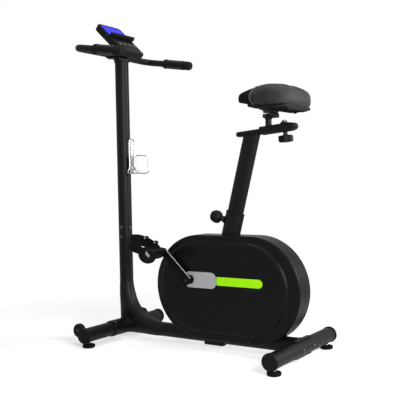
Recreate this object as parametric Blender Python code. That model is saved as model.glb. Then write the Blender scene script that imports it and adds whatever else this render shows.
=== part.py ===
"""Upright low-entry exercise bike: magnetic flywheel in a round-ended case, oval seat post, U handlebar.

Metres, +Z up, +X the way the rider faces, +Y the rider's left. The floor is Z = 0 and the origin is
below the middle of the overall box.
"""

import math

import bmesh
import bpy
from mathutils import Matrix, Vector

X, Y, Z = Vector((1, 0, 0)), Vector((0, 1, 0)), Vector((0, 0, 1))

GAP = 0.0003  # between pieces that touch
RUN = 0.00008  # radial clearance of a shaft that turns in its hole

# Base: two cross tubes joined by the frame
TUBE_R, TUBE_WALL = 0.030, 0.0025
TUBE_HALF = 0.250
TUBE_Z = 0.053
REAR_X, FRONT_X = -0.4673, 0.4097
SLEEVE_R = 0.0345
FRONT_SLEEVE_HALF, REAR_SLEEVE_HALF = 0.089, 0.065
CAP_R, CAP_OUT = 0.0325, 0.264
FOOT_Y = 0.228
STEM_R = 0.005
WHEEL_X, WHEEL_Z, WHEEL_R = 0.4721, 0.063, 0.030
WHEEL_Y = (0.2055, 0.2265)
REAR_BOLT_Y, BOLT_R = 0.045, 0.004
SHELL_HALF = 0.034

# Frame
POST_X, POST_R = 0.3850, 0.030
POST_SPLIT_Z, POST_TOP_Z = 0.414, 1.236
SPIGOT_R, SPIGOT_TOP_Z = 0.0268, 0.520
POST_BOLT_Z = (0.452, 0.495)
BEAM_Z = 0.058
BEND_R = 0.196
CRANK = Vector((-0.0013, 0, 0.291))
FLYWHEEL = Vector((-0.2963, 0, 0.262))
BRAKE_PIVOT = Vector((-0.2263, 0, 0.383))

# Seat tube and what slides in it: the axis leans back
LEAN = math.radians(15)
UP_SEAT = Vector((-math.sin(LEAN), 0, math.cos(LEAN)))
FORE_SEAT = Vector((math.cos(LEAN), 0, math.sin(LEAN)))
SEAT_MOUTH = Vector((-0.1848, 0, 0.559))
SEAT_TUBE_SIZE = (0.081, 0.048)
SEAT_POST_SIZE = (0.071, 0.038)
POP_PIN_DROP, HOLE_PITCH = 0.036, 0.040

# Seat slide, tipped up a little to the rear
SLIDE_TILT = math.radians(4.5)
AFT = Vector((-math.cos(SLIDE_TILT), 0, math.sin(SLIDE_TILT)))
SLIDE_UP = Vector((math.sin(SLIDE_TILT), 0, math.cos(SLIDE_TILT)))
SLIDE_NOSE = Vector((-0.2023, 0, 0.8710))

# Saddle clamp
STUB_TOP_Z, STUB_AFT, CLAMP_AFT = 0.9400, 0.1410, 0.2100
TILT_PIN = Vector((-0.3663, 0, 0.9425))
CLAMP_X, CLAMP_HALF = (-0.3778, -0.3278), 0.0225

# Housing
CASE_ENDS = ((-0.2738, 0.260), (-0.0328, 0.260))
CASE_R, CASE_WALL = 0.2125, 0.003
PANEL_ENDS = ((-0.2558, 0.2625), (-0.0323, 0.2625))
BAND_Z = 0.2915

# Crank and pedals
CRANK_LENGTH, CRANK_ANGLE = 0.155, math.radians(44.5)
ARM_Y = (0.0785, 0.0915)
PEDAL_Y = (0.097, 0.205)
PEDAL_TILT = math.radians(8)

# Console: a plate tipped to face the rider
CONSOLE_TILT = math.radians(43.3)
CONSOLE_DOWN = Vector((-math.cos(CONSOLE_TILT), 0, -math.sin(CONSOLE_TILT)))
CONSOLE_OUT = Vector((-math.sin(CONSOLE_TILT), 0, math.cos(CONSOLE_TILT)))
CONSOLE_TOP = Vector((0.4552, 0, 1.3940))
CONSOLE_SIZE = (0.188, 0.148, 0.029)

# Handlebar
BAR_R = 0.014
BAR_FRONT = Vector((0.4392, 0, 1.2638))
BAR_CORNER = Vector((0.4392, 0.2385, 1.2638))
BAR_END = Vector((0.1822, 0.2395, 1.2236))

# Bottle cage
WIRE_R = 0.0025

COLOURS = {
    "frame": ((0.018, 0.018, 0.019), 0.0, 0.42),
    "shell": ((0.016, 0.016, 0.017), 0.0, 0.48),
    "rubber": ((0.012, 0.012, 0.012), 0.0, 0.75),
    "steel": ((0.55, 0.55, 0.56), 1.0, 0.30),
    "chrome": ((0.80, 0.80, 0.82), 1.0, 0.10),
    "silver": ((0.30, 0.30, 0.31), 0.6, 0.45),
    "green": ((0.25, 0.66, 0.01), 0.0, 0.45),
    "lens": ((0.010, 0.010, 0.60), 0.0, 0.15),
    "leather": ((0.022, 0.022, 0.024), 0.0, 0.55),
}


def finish(obj, look):
    colour, metallic, roughness = COLOURS[look]
    material = bpy.data.materials.new(obj.name + "_material")
    material.use_nodes = True
    shader = material.node_tree.nodes["Principled BSDF"]
    shader.inputs["Base Color"].default_value = (*colour, 1)
    shader.inputs["Metallic"].default_value = metallic
    shader.inputs["Roughness"].default_value = roughness
    material.diffuse_color = (*colour, 1)
    obj.data.materials.append(material)
    return obj


def skin(name, rings, look=None, loop=False):
    """A solid through rings of equal count: closed by end caps, or joined end to end when loop is set."""
    bm = bmesh.new()
    rows = [[bm.verts.new(p) for p in ring] for ring in rings]
    count = len(rows[0])
    pairs = list(zip(rows, rows[1:]))
    if loop:
        pairs.append((rows[-1], rows[0]))
    else:
        bm.faces.new(rows[0])
        bm.faces.new(rows[-1])
    for low, high in pairs:
        for i in range(count):
            j = (i + 1) % count
            bm.faces.new((low[i], low[j], high[j], high[i]))
    bmesh.ops.recalc_face_normals(bm, faces=bm.faces)
    mesh = bpy.data.meshes.new(name)
    bm.to_mesh(mesh)
    bm.free()
    obj = bpy.data.objects.new(name, mesh)
    bpy.context.scene.collection.objects.link(obj)
    if look:
        finish(obj, look)
    else:
        obj.hide_render = True
        obj.display_type = "WIRE"
    return obj


def oval(centre, u, v, ru, rv, count=24):
    steps = [math.tau * (i + 0.5) / count for i in range(count)]
    return [centre + u * ru * math.cos(t) + v * rv * math.sin(t) for t in steps]


def soft_box(centre, u, v, ru, rv, corner, count=24):
    """A rectangle outline with round corners, count points in all."""
    each = count // 4
    ring = []
    for k, (a, b) in enumerate(((1, 1), (-1, 1), (-1, -1), (1, -1))):
        hub = centre + u * a * (ru - corner) + v * b * (rv - corner)
        for i in range(each):
            t = math.pi / 2 * (k + i / (each - 1))
            ring.append(hub + u * corner * math.cos(t) + v * corner * math.sin(t))
    return ring


def clear(radius, count, play=RUN):
    """The corner radius of a count-sided hole in which a shaft of this radius can turn."""
    return (radius + play) / math.cos(math.pi / count)


def across(axis):
    """Two unit vectors square to axis."""
    side = Y if abs(axis.dot(Y)) < 0.9 else X
    u = axis.cross(side).normalized()
    return u, axis.cross(u).normalized()


def lathe(name, base, axis, profile, look=None, count=24, loop=False):
    """Rings of (radius, distance along axis) about a line."""
    u, v = across(axis)
    rings = [oval(base + axis * h, u, v, r, r, count) for r, h in profile]
    return skin(name, rings, look, loop)


def rod(name, start, end, radius, look=None, count=24):
    axis = (end - start).normalized()
    return lathe(name, start, axis, ((radius, 0), (radius, (end - start).length)), look, count)


def slab(name, outline, y0, y1, look=None):
    """A flat outline of (x, z) points, from y0 to y1."""
    return skin(name, [[Vector((x, y, z)) for x, z in outline] for y in (y0, y1)], look)


def block(name, low, high, look=None):
    (x0, y0, z0), (x1, y1, z1) = low, high
    return slab(name, ((x0, z0), (x1, z0), (x1, z1), (x0, z1)), y0, y1, look)


def smooth_path(corners, radius, steps=6, loop=False):
    """The corners joined by straight runs, each inner corner rounded to radius."""
    path = []
    count = len(corners)
    for i, here in enumerate(corners):
        if not loop and i in (0, count - 1):
            path.append(here)
            continue
        back = (corners[i - 1] - here).normalized()
        ahead = (corners[(i + 1) % count] - here).normalized()
        half = back.angle(ahead) / 2
        reach = radius / math.tan(half)
        hub = here + (back + ahead).normalized() * radius / math.sin(half)
        first, last = here + back * reach - hub, here + ahead * reach - hub
        sweep = first.angle(last)
        for k in range(steps + 1):
            t = k / steps
            spoke = first * math.sin((1 - t) * sweep) + last * math.sin(t * sweep)
            path.append(hub + spoke / math.sin(sweep))
    return path


def pipe(name, path, section, look=None, loop=False, up=None):
    """Sweeps section, a list of (across, up) pairs, along a path without twist."""
    count = len(path)
    rings = []
    side = None
    for i, here in enumerate(path):
        if loop:
            way = (path[(i + 1) % count] - path[i - 1]).normalized()
        else:
            way = (path[min(i + 1, count - 1)] - path[max(i - 1, 0)]).normalized()
        if up is not None:
            side = way.cross(up).normalized()
        elif side is None:
            side = across(way)[0]
        else:
            side = (side - way * side.dot(way)).normalized()
        top = side.cross(way).normalized()
        rings.append([here + side * a + top * b for a, b in section])
    return skin(name, rings, look, loop)


def circle(radius, count=16):
    steps = [math.tau * (i + 0.5) / count for i in range(count)]
    return [(radius * math.cos(t), radius * math.sin(t)) for t in steps]


def combine(obj, tool, operation):
    tool.hide_render = True
    tool.display_type = "WIRE"
    change = obj.modifiers.new(tool.name, "BOOLEAN")
    change.operation = operation
    change.solver = "EXACT"
    change.object = tool
    return obj


def fuse(obj, *tools):
    for tool in tools:
        combine(obj, tool, "UNION")
    return obj


def cut(obj, *tools):
    for tool in tools:
        combine(obj, tool, "DIFFERENCE")
    return obj


def soften(obj, width, segments=1, angle=40):
    change = obj.modifiers.new("soften", "BEVEL")
    change.width = width
    change.segments = segments
    change.limit_method = "ANGLE"
    change.angle_limit = math.radians(angle)
    return obj


def arc(cx, cz, radius, start, end, steps):
    turns = [math.radians(start + (end - start) * i / steps) for i in range(steps + 1)]
    return [(cx + radius * math.cos(t), cz + radius * math.sin(t)) for t in turns]


def seat_at(up, fore=0.0, side=0.0):
    """A point measured from the mouth of the seat tube."""
    return SEAT_MOUTH + UP_SEAT * up + FORE_SEAT * fore + Y * side


def slide_at(aft, up=0.0, side=0.0):
    return SLIDE_NOSE + AFT * aft + SLIDE_UP * up + Y * side


def console_at(down, side=0.0, out=0.0):
    return CONSOLE_TOP + CONSOLE_DOWN * down + Y * side + CONSOLE_OUT * out


def button_at(k):
    return console_at(0.142, (1.5 - k) * 0.030)


def cross_rod(name, x, half, radius, count=28):
    middle = Vector((x, 0, TUBE_Z))
    return rod(name, middle - Y * half, middle + Y * half, radius, None, count)


def crank_supports():
    """The crank shell, with a leg down to the beam and a web back to the seat tube."""
    half = 0.010
    x, z = CRANK.x, CRANK.z
    return [
        rod("crank_shell", CRANK - Y * SHELL_HALF, CRANK + Y * SHELL_HALF, 0.024, None, 24),
        block("crank_web", (x - 0.095, -half, z - 0.014), (x - 0.016, half, z + 0.014)),
        block("crank_leg", (x - 0.013, -half, BEAM_Z + 0.020), (x + 0.013, half, z - 0.018)),
    ]


def flywheel_fork():
    x, z = FLYWHEEL.x, FLYWHEEL.z
    plate = ((x - 0.023, 0.104), (x + 0.023, 0.104), (x + 0.013, z + 0.014), (x - 0.013, z + 0.014))
    return [
        block("fork_pedestal", (x - 0.018, -0.016, 0.077), (x + 0.018, 0.016, 0.104)),
        block("fork_foot", (x - 0.024, -0.0513, 0.100), (x + 0.024, 0.0235, 0.110)),
        slab("fork_left", plate, 0.0195, 0.0233),
        slab("fork_right", plate, -0.0511, -0.0480),
    ]


def brake_bracket():
    x, z = BRAKE_PIVOT.x, BRAKE_PIVOT.z
    outline = (
        (x - 0.010, z - 0.010),
        (x + 0.080, z - 0.010),
        (x + 0.080, z + 0.062),
        (x + 0.030, z + 0.062),
        (x + 0.010, z + 0.010),
        (x - 0.010, z + 0.010),
    )
    return slab("brake_bracket", outline, 0.0125, 0.0165)


def frame_hollows(post, rear):
    """What is taken out of the frame: the tubes' bores, the seats of the cross tubes, and the holes."""
    beam = Vector((REAR_X + 0.040, 0, BEAM_Z)), Vector((POST_X - 0.002, 0, BEAM_Z))
    long, wide = (size / 2 + 0.0028 for size in SEAT_POST_SIZE)
    bore = [oval(seat_at(up), FORE_SEAT, Y, long, wide, 24) for up in (-0.455, 0.02)]
    step = SHELL_HALF - 0.0125
    bearing_seat = [(0.0203, -0.05), (0.0203, -step), (0.0125, -step)]
    bearing_seat += [(radius, -out) for radius, out in reversed(bearing_seat)]
    holes = []
    for k, y in enumerate((-REAR_BOLT_Y, REAR_BOLT_Y)):
        start = rear + Y * y
        holes.append(rod(f"bolt_hole_{k}", start, start + X * 0.06, BOLT_R + GAP, None, 12))
    for k, z in enumerate(POST_BOLT_Z):
        middle = post + Z * z
        holes.append(rod(f"post_hole_{k}", middle - Y * 0.04, middle + Y * 0.04, BOLT_R + GAP, None, 12))
    return [
        rod("post_hollow", post + Z * 0.130, post + Z * 0.55, 0.0243, None, 16),
        rod("beam_hollow", *beam, 0.0245, None, 16),
        rod("corner_hollow", post + Z * 0.0605, post + Z * 0.140, 0.0235, None, 16),
        skin("seat_bore", bore),
        cross_rod("front_seat", FRONT_X, 0.11, TUBE_R + GAP),
        cross_rod("rear_seat", REAR_X, 0.11, TUBE_R + GAP),
        lathe("bearing_seat", CRANK, Y, bearing_seat, None, 20),
        rod("flywheel_hole", FLYWHEEL - Y * 0.07, FLYWHEEL + Y * 0.07, 0.0060 + GAP, None, 16),
        rod("pivot_hole", BRAKE_PIVOT - Y * 0.03, BRAKE_PIVOT + Y * 0.03, clear(0.0040, 16), None, 16),
        rod("pin_hole", seat_at(-POP_PIN_DROP), seat_at(-POP_PIN_DROP, 0.06), 0.0063, None, 16),
        *holes,
    ]


def make_frame():
    post, rear = Vector((POST_X, 0, 0)), Vector((REAR_X, 0, TUBE_Z))
    frame = rod("frame", post + Z * BEAM_Z, post + Z * POST_SPLIT_Z, POST_R, "frame", 28)
    corner = post + Z * BEAM_Z
    bend = smooth_path([corner + Z * 0.24, corner, corner - X * 0.24], BEND_R, 7)
    spigot = post + Z * (POST_SPLIT_Z - 0.030), post + Z * SPIGOT_TOP_Z
    beam = corner + X * 0.004, Vector((REAR_X + 0.010, 0, BEAM_Z))
    fuse(
        frame,
        rod("spigot", *spigot, SPIGOT_R, None, 28),
        pipe("bend", bend, circle(POST_R - 0.0004, 20)),
        rod("beam", *beam, POST_R - 0.0002, None, 24),
        cross_rod("front_sleeve", FRONT_X, FRONT_SLEEVE_HALF, SLEEVE_R),
        block("beam_foot", (-0.122, -0.014, 0.0190), (-0.032, 0.014, 0.034)),
    )
    rear_sleeve = cross_rod("rear_sleeve", REAR_X, REAR_SLEEVE_HALF, SLEEVE_R)
    cut(rear_sleeve, block("rear_half", (REAR_X - 0.06, -0.1, 0), (REAR_X - 0.010, 0.1, 0.12)))
    long, wide = (size / 2 for size in SEAT_TUBE_SIZE)
    foot = -(SEAT_MOUTH.z - 0.066) / UP_SEAT.z
    seat_tube = skin("seat_tube", [oval(seat_at(up), FORE_SEAT, Y, long, wide, 28) for up in (foot, 0)])
    fuse(frame, rear_sleeve, seat_tube, *crank_supports(), *flywheel_fork(), brake_bracket())
    cut(frame, *frame_hollows(post, rear))
    return frame


def make_cross_tube(name, x, bolted):
    inner = TUBE_R - TUBE_WALL
    axis = Vector((x, 0, TUBE_Z))
    profile = ((TUBE_R, -TUBE_HALF), (TUBE_R, TUBE_HALF), (inner, TUBE_HALF), (inner, -TUBE_HALF))
    tube = lathe(name, axis, Y, profile, "frame", 28, loop=True)
    if not bolted:
        for side in (-1, 1):
            add_wheel_ear(tube, f"{name}_ear_{side}", side)
    for k, y in enumerate((-FOOT_Y, FOOT_Y)):
        hole = Vector((x, y, 0))
        cut(tube, rod(f"{name}_stem_hole_{k}", hole, hole + Z * TUBE_Z, STEM_R + GAP, None, 12))
    if bolted:
        for k, y in enumerate((-REAR_BOLT_Y, REAR_BOLT_Y)):
            hole = Vector((x, y, TUBE_Z))
            cut(tube, rod(f"{name}_bolt_hole_{k}", hole - X * 0.05, hole + X * 0.05, BOLT_R + GAP, None, 12))
    return tube


def add_wheel_ear(tube, name, side):
    """A welded plate inboard of the wheel, with the stub that the wheel turns on."""
    root, half = FRONT_X + 0.0262, 0.012
    tip = arc(WHEEL_X, WHEEL_Z, 0.010, 70, -70, 5)
    inside, outside = (side * (WHEEL_Y[0] - gap) for gap in (0.0060, 0.0010))
    ear = slab(name, [(root, TUBE_Z + half), *tip, (root, TUBE_Z - half)], inside, outside)
    inner, outer = WHEEL_Y
    head = outer + 0.0008
    profile = ((0.0050, inner - 0.0030), (0.0050, head), (0.0085, head), (0.0070, head + 0.0032))
    stub = lathe(f"{name}_stub", Vector((WHEEL_X, 0, WHEEL_Z)), Y * side, profile, None, 16)
    fuse(tube, ear, stub)


def make_end_cap(name, x, side):
    plug, lip = TUBE_R - TUBE_WALL - GAP, TUBE_HALF + GAP
    profile = (
        (plug, 0.240),
        (plug, lip),
        (CAP_R, lip),
        (CAP_R, CAP_OUT - 0.005),
        (CAP_R - 0.004, CAP_OUT - 0.0005),
        (0.012, CAP_OUT),
    )
    lathe(name, Vector((x, 0, TUBE_Z)), Y * side, profile, "rubber", 24)


def make_wheel(name, side):
    bore, (inner, outer) = clear(0.0050, 24), WHEEL_Y
    profile = (
        (bore, inner),
        (WHEEL_R - 0.003, inner),
        (WHEEL_R, inner + 0.003),
        (WHEEL_R, outer - 0.003),
        (WHEEL_R - 0.003, outer),
        (bore, outer),
    )
    lathe(name, Vector((WHEEL_X, 0, WHEEL_Z)), Y * side, profile, "rubber", 24, loop=True)


def make_foot(name, x, y):
    profile = (
        (0.0240, 0),
        (0.0266, 0.0040),
        (0.0266, 0.0130),
        (STEM_R, 0.0190),
        (STEM_R, 0.0440),
    )
    lathe(name, Vector((x, y, 0)), Z, profile, "rubber", 20)


def make_rear_bolt(name, y):
    head = TUBE_R + GAP
    nut = SLEEVE_R + GAP
    profile = (
        (0.0030, -head - 0.0042),
        (0.0065, -head - 0.0032),
        (0.0080, -head),
        (BOLT_R, -head),
        (BOLT_R, nut),
        (0.0080, nut),
        (0.0080, nut + 0.0065),
        (BOLT_R, nut + 0.0070),
        (BOLT_R, nut + 0.0100),
    )
    lathe(name, Vector((REAR_X, y, TUBE_Z)), X, profile, "steel", 12)


def make_posts():
    axis = Vector((POST_X, 0, 0))
    inner, low = SPIGOT_R + GAP, POST_SPLIT_Z + GAP
    profile = ((POST_R, low), (POST_R, POST_TOP_Z), (inner, POST_TOP_Z), (inner, low))
    post = lathe("upper_post", axis, Z, profile, "frame", 28, loop=True)
    for k, z in enumerate(POST_BOLT_Z):
        centre = axis + Z * z
        cut(post, rod(f"upper_post_hole_{k}", centre - Y * 0.05, centre + Y * 0.05, BOLT_R + GAP, None, 12))
        head = POST_R + GAP
        ends = ((0.0030, 0.0040), (0.0065, 0.0030), (0.0075, 0), (BOLT_R, 0))
        profile = [(r, -head - h) for r, h in ends] + [(r, head + h) for r, h in reversed(ends)]
        lathe(("post_bolt_lower", "post_bolt_upper")[k], centre, Y, profile, "steel", 12)


def make_bar_head():
    """The collar on the post that holds the handlebar in front and the console on top."""
    axis = Vector((POST_X, 0, 0))
    under = console_at(0.098, 0, -CONSOLE_SIZE[2] - GAP)
    socket_z = (1.222, 1.246)
    head = skin(
        "bar_head",
        [
            *[oval(axis + Z * z, X, Y, 0.0330, 0.0330, 24) for z in socket_z],
            oval(axis + Z * 1.254 + X * 0.002, X, Y, 0.0330, 0.0320, 24),
            oval(under, -CONSOLE_DOWN, Y, 0.0420, 0.0300, 24),
        ],
        "frame",
    )
    lug = rod("bar_lug", BAR_FRONT - Y * 0.030, BAR_FRONT + Y * 0.030, 0.0190, None, 24)
    neck = block("bar_neck", (POST_X, -0.020, 1.244), (BAR_FRONT.x - 0.004, 0.020, 1.272))
    fuse(head, neck, lug)
    cut(
        head,
        rod("post_seat", axis + Z * 1.20, axis + Z * (POST_TOP_Z + GAP), POST_R + GAP, None, 28),
        rod("bar_bore", BAR_FRONT - Y * 0.05, BAR_FRONT + Y * 0.05, BAR_R + GAP, None, 24),
    )


def mirrored(point):
    return Vector((point.x, -point.y, point.z))


def make_handlebar():
    front = Y * 0.03
    corners = [BAR_END, BAR_CORNER, BAR_FRONT + front, BAR_FRONT - front]
    corners += [mirrored(BAR_CORNER), mirrored(BAR_END)]
    path = [corners[0]]
    path += smooth_path([corners[0], corners[1], corners[2]], 0.052, 7)[1:-1]
    path += corners[2:4]
    path += smooth_path([corners[3], corners[4], corners[5]], 0.052, 7)[1:-1]
    path.append(corners[-1])
    pipe("handlebar", path, circle(BAR_R, 16), "frame")
    for name, end, corner in (
        ("grip_left", BAR_END, BAR_CORNER),
        ("grip_right", mirrored(BAR_END), mirrored(BAR_CORNER)),
    ):
        way = (corner - end).normalized()
        top = (Z - way * way.z).normalized()
        side = way.cross(top)
        shape = (
            (-0.006, 0.0130, 0.0150),
            (-0.004, 0.0170, 0.0180),
            (0.004, 0.0185, 0.0200),
            (0.134, 0.0185, 0.0225),
            (0.143, 0.0175, 0.0215),
            (0.148, 0.0160, 0.0170),
        )
        rings = [oval(end + way * t, side, top, a, b, 20) for t, a, b in shape]
        grip = skin(name, rings, "rubber")
        cut(grip, rod(f"{name}_bore", end - way * GAP, end + way * 0.17, BAR_R + GAP, None, 16))


def make_console():
    length, width, thick = CONSOLE_SIZE
    mid = length / 2

    def face(out, grow):
        return soft_box(console_at(mid, 0, out), CONSOLE_DOWN, Y, mid + grow, width / 2 + grow, 0.014, 24)

    def window(name, spare, bottom, top, look=None):
        half, side = 0.0340 - spare, 0.0630 - spare
        centres = [console_at(0.047, 0, out) for out in (bottom, top)]
        return skin(name, [soft_box(at, CONSOLE_DOWN, Y, half, side, 0.006, 24) for at in centres], look)

    rings = [face(-thick, -0.004), face(-thick + 0.004, 0), face(-0.003, 0), face(0, -0.003)]
    body = skin("console", rings, "shell")
    cut(body, window("lens_seat", 0, -0.0030, 0.01))
    window("console_lens", GAP, -0.0030 + GAP, -0.0006, "lens")
    shelf = [(-0.004, 0.0), (0.006, 0.0), (0.006, 0.012), (0.002, 0.020), (-0.002, 0.020), (-0.004, 0.014)]
    ends = (-width / 2 - 0.003, width / 2 + 0.003)
    skin("tablet_ledge", [[console_at(0.096 + a, end, b + GAP) for a, b in shelf] for end in ends], "shell")
    profile = ((0.0100, -0.0060), (0.0100, 0.0012), (0.0080, 0.0024))
    for k in range(4):
        hub, well = button_at(k), CONSOLE_OUT * 0.01
        cut(body, rod(f"button_well_{k}", hub - well, hub + well, 0.0100 + GAP, None, 16))
        lathe(f"button_{k + 1}", hub, CONSOLE_OUT, profile, "silver", 16)


def make_bottle_cage():
    back, outer, lip = POST_X - 0.0455, POST_X - 0.1130, POST_X - 0.0977
    half_back, half_out, half_lip = 0.017, 0.0332, 0.0396
    low, mid, back_top, out_top = 0.731, 0.760, 0.880, 0.808
    corners = [
        Vector((back, half_back, mid)),
        Vector((back, half_back, back_top)),
        Vector((back, -half_back, back_top)),
        Vector((back, -half_back, mid)),
        Vector((back, -half_out, low)),
        Vector((outer, -half_out, low)),
        Vector((lip, -half_lip, out_top)),
        Vector((lip, half_lip, out_top)),
        Vector((outer, half_out, low)),
        Vector((back, half_out, low)),
    ]
    wire = smooth_path(corners, 0.010, 3, loop=True)
    cage = pipe("bottle_cage", wire, circle(WIRE_R, 6), "chrome", loop=True)
    face = POST_X - POST_R - GAP / 3
    strap = block("cage_plate", (back - 0.0015, -0.0195, 0.746), (back + 0.0025, 0.0195, 0.808))
    tail = block("cage_tail", (back - 0.0012, -0.0110, 0.729), (back + 0.0023, 0.0110, 0.750))
    shelf = block("cage_shelf", (back - 0.036, -0.0105, 0.7293), (back + 0.0010, 0.0105, 0.7317))
    fuse(cage, strap, tail, shelf)
    for k, z in enumerate((0.7545, 0.799)):
        fuse(cage, block(f"cage_pad_{k}", (back, -0.008, z - 0.007), (face, 0.008, z + 0.007)))


def under_slide(point, drop):
    """The point moved along the seat post until it lies drop below the slide's centre line."""
    gap = SLIDE_UP.dot(slide_at(0, -drop) - point)
    return point + UP_SEAT * (gap / SLIDE_UP.dot(UP_SEAT))


def make_seat_post():
    """An oval tube, with a flat bar on top for the saddle carriage and a row of height holes in front."""
    long, wide = SEAT_POST_SIZE
    foot, slide_half, slide_up = -0.135, 0.0180, 0.0100
    head = [under_slide(p, 0.0095) for p in oval(seat_at(0.28), FORE_SEAT, Y, long / 2, wide / 2, 28)]
    post = skin("seat_post", [oval(seat_at(foot), FORE_SEAT, Y, long / 2, wide / 2, 28), head], "frame")
    sizes = ((0.0, 0.0140, 0.0060), (0.004, slide_half, slide_up), (0.2525, slide_half, slide_up))
    rings = [soft_box(slide_at(aft), Y, SLIDE_UP, half, up, 0.004, 16) for aft, half, up in sizes]
    fuse(post, skin("slide_bar", rings))
    inner_long, inner_wide = long / 2 - 0.002, wide / 2 - 0.002
    rings = [oval(seat_at(up), FORE_SEAT, Y, inner_long, inner_wide, 20) for up in (foot - 0.01, 0.275)]
    cut(post, skin("seat_post_hollow", rings))
    for k in range(-1, 5):
        spot = seat_at(HOLE_PITCH * k - POP_PIN_DROP)
        start, end = spot + FORE_SEAT * 0.02, spot + FORE_SEAT * 0.045
        cut(post, rod(f"height_hole_{k}", start, end, 0.0055, None, 10))


def make_seat_fittings():
    long, wide = SEAT_POST_SIZE
    walls = [(long / 2 + 0.0025, wide / 2 + 0.0025), (long / 2 + GAP, wide / 2 + GAP)]
    lip = [(SEAT_TUBE_SIZE[0] / 2 + 0.001, SEAT_TUBE_SIZE[1] / 2 + 0.001)]
    low, over, top = -0.020, GAP, 0.0045
    rings = [
        oval(seat_at(low), FORE_SEAT, Y, *walls[0], 28),
        oval(seat_at(over), FORE_SEAT, Y, *walls[0], 28),
        oval(seat_at(over), FORE_SEAT, Y, *lip[0], 28),
        oval(seat_at(top - 0.0015), FORE_SEAT, Y, *lip[0], 28),
        oval(seat_at(top), FORE_SEAT, Y, lip[0][0] - 0.0015, lip[0][1] - 0.0015, 28),
        oval(seat_at(top), FORE_SEAT, Y, *walls[1], 28),
        oval(seat_at(low), FORE_SEAT, Y, *walls[1], 28),
    ]
    skin("seat_bushing", rings, "rubber", loop=True)
    start = seat_at(-POP_PIN_DROP)
    reach = long / 2 + GAP
    profile = (
        (0.0050, reach),
        (0.0060, reach + 0.002),
        (0.0060, 0.0560),
        (0.0130, 0.0570),
        (0.0240, 0.0650),
        (0.0270, 0.0800),
        (0.0240, 0.0970),
        (0.0110, 0.1080),
    )
    lathe("pop_pin", start, FORE_SEAT, profile, "rubber", 20)


def make_carriage():
    mid_up = 0.0010
    rings = []
    outside = (mid_up, 0.0225, 0.0155, 0.005)
    inside = (0, 0.0180 + GAP, 0.0100 + GAP, 0.004)
    for aft, (lift, half, up, corner) in (
        (0.1090, outside),
        (0.2400, outside),
        (0.2400, inside),
        (0.1090, inside),
    ):
        rings.append(soft_box(slide_at(aft, lift), Y, SLIDE_UP, half, up, corner, 16))
    carriage = skin("seat_carriage", rings, "frame", loop=True)
    stub_foot = slide_at(STUB_AFT, 0.0135)
    stub_top = Vector((stub_foot.x, 0, STUB_TOP_Z))
    fuse(carriage, rod("saddle_stub", stub_foot, stub_top, 0.0110, None, 20))
    clamp = slide_at(CLAMP_AFT)
    boss = rod("clamp_boss", clamp - SLIDE_UP * 0.0205, clamp - SLIDE_UP * 0.0125, 0.0085, None, 16)
    heights = ((0.0150, 0), (0.0215, 0), (0.0245, 0.003))
    rings = []
    for up, trim in heights:
        rings.append(soft_box(clamp + SLIDE_UP * up, AFT, Y, 0.0100 - trim, 0.0190 - trim, 0.004, 16))
    fuse(carriage, boss, skin("clamp_plate", rings))
    start, end = clamp - SLIDE_UP * 0.03, clamp - SLIDE_UP * 0.005
    cut(carriage, rod("clamp_thread", start, end, clear(0.0050, 16), None, 16))
    tail = slide_at(0.2400 + GAP, mid_up)
    cup = ((0.0140, 0.0186, 0.0106, 0.004), (0, 0.0186, 0.0106, 0.004), (0, 0.0225, 0.0155, 0.005))
    nose = ((0.011, 0.0225, 0.0155, 0.006), (0.019, 0.0205, 0.0135, 0.008), (0.025, 0.0100, 0.0060, 0.005))
    rings = []
    for t, half, up, corner in cup + nose:
        shift = SLIDE_UP * -mid_up if half < 0.019 and up > 0.010 else Vector()
        rings.append(soft_box(tail + AFT * t + shift, Y, SLIDE_UP, half, up, corner, 16))
    skin("carriage_cap", rings, "rubber")


def make_slide_knob():
    hub = slide_at(CLAMP_AFT)
    down = -SLIDE_UP
    stem = lathe(
        "slide_knob",
        hub,
        down,
        (
            (0.0050, 0.0100 + GAP),
            (0.0050, 0.0220),
            (0.0090, 0.0225),
            (0.0090, 0.0290),
            (0.0270, 0.0295),
            (0.0290, 0.0330),
            (0.0290, 0.0500),
            (0.0250, 0.0545),
        ),
        "rubber",
        20,
    )
    u, v = across(down)
    for k in range(6):
        t = math.tau * (k + 0.5) / 6
        spot = hub + (u * math.cos(t) + v * math.sin(t)) * 0.0345
        cut(stem, rod(f"knob_scallop_{k}", spot + down * 0.026, spot + down * 0.058, 0.0085, None, 10))


SADDLE = (
    # x, half width, low z, top z, groove depth
    (-0.4885, 0.050, 0.984, 1.006, 0.000),
    (-0.4840, 0.086, 0.970, 1.023, 0.002),
    (-0.4690, 0.113, 0.9595, 1.037, 0.006),
    (-0.4420, 0.125, 0.9575, 1.046, 0.009),
    (-0.4070, 0.123, 0.9575, 1.052, 0.010),
    (-0.3720, 0.110, 0.9590, 1.0555, 0.009),
    (-0.3370, 0.087, 0.9640, 1.055, 0.006),
    (-0.3020, 0.064, 0.9720, 1.0515, 0.003),
    (-0.2670, 0.047, 0.9810, 1.046, 0.001),
    (-0.2370, 0.037, 0.9910, 1.038, 0.000),
    (-0.2230, 0.028, 0.9980, 1.030, 0.000),
    (-0.2170, 0.014, 1.0050, 1.019, 0.000),
)


def bend_power(value, power):
    return math.copysign(abs(value) ** power, value)


def make_saddle():
    rings = []
    count = 24
    for x, half, low, top, groove in SADDLE:
        middle, tall = (low + top) / 2, (top - low) / 2
        ring = []
        for i in range(count):
            t = math.tau * (i + 0.5) / count
            y = half * bend_power(math.cos(t), 0.62)
            z = middle + tall * bend_power(math.sin(t), 0.72)
            if z > middle:
                z -= groove * math.exp(-((y / 0.022) ** 2))
            ring.append(Vector((x, y, z)))
        rings.append(ring)
    skin("saddle_cushion", rings, "leather")
    make_saddle_base()
    make_saddle_clamp()


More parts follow.
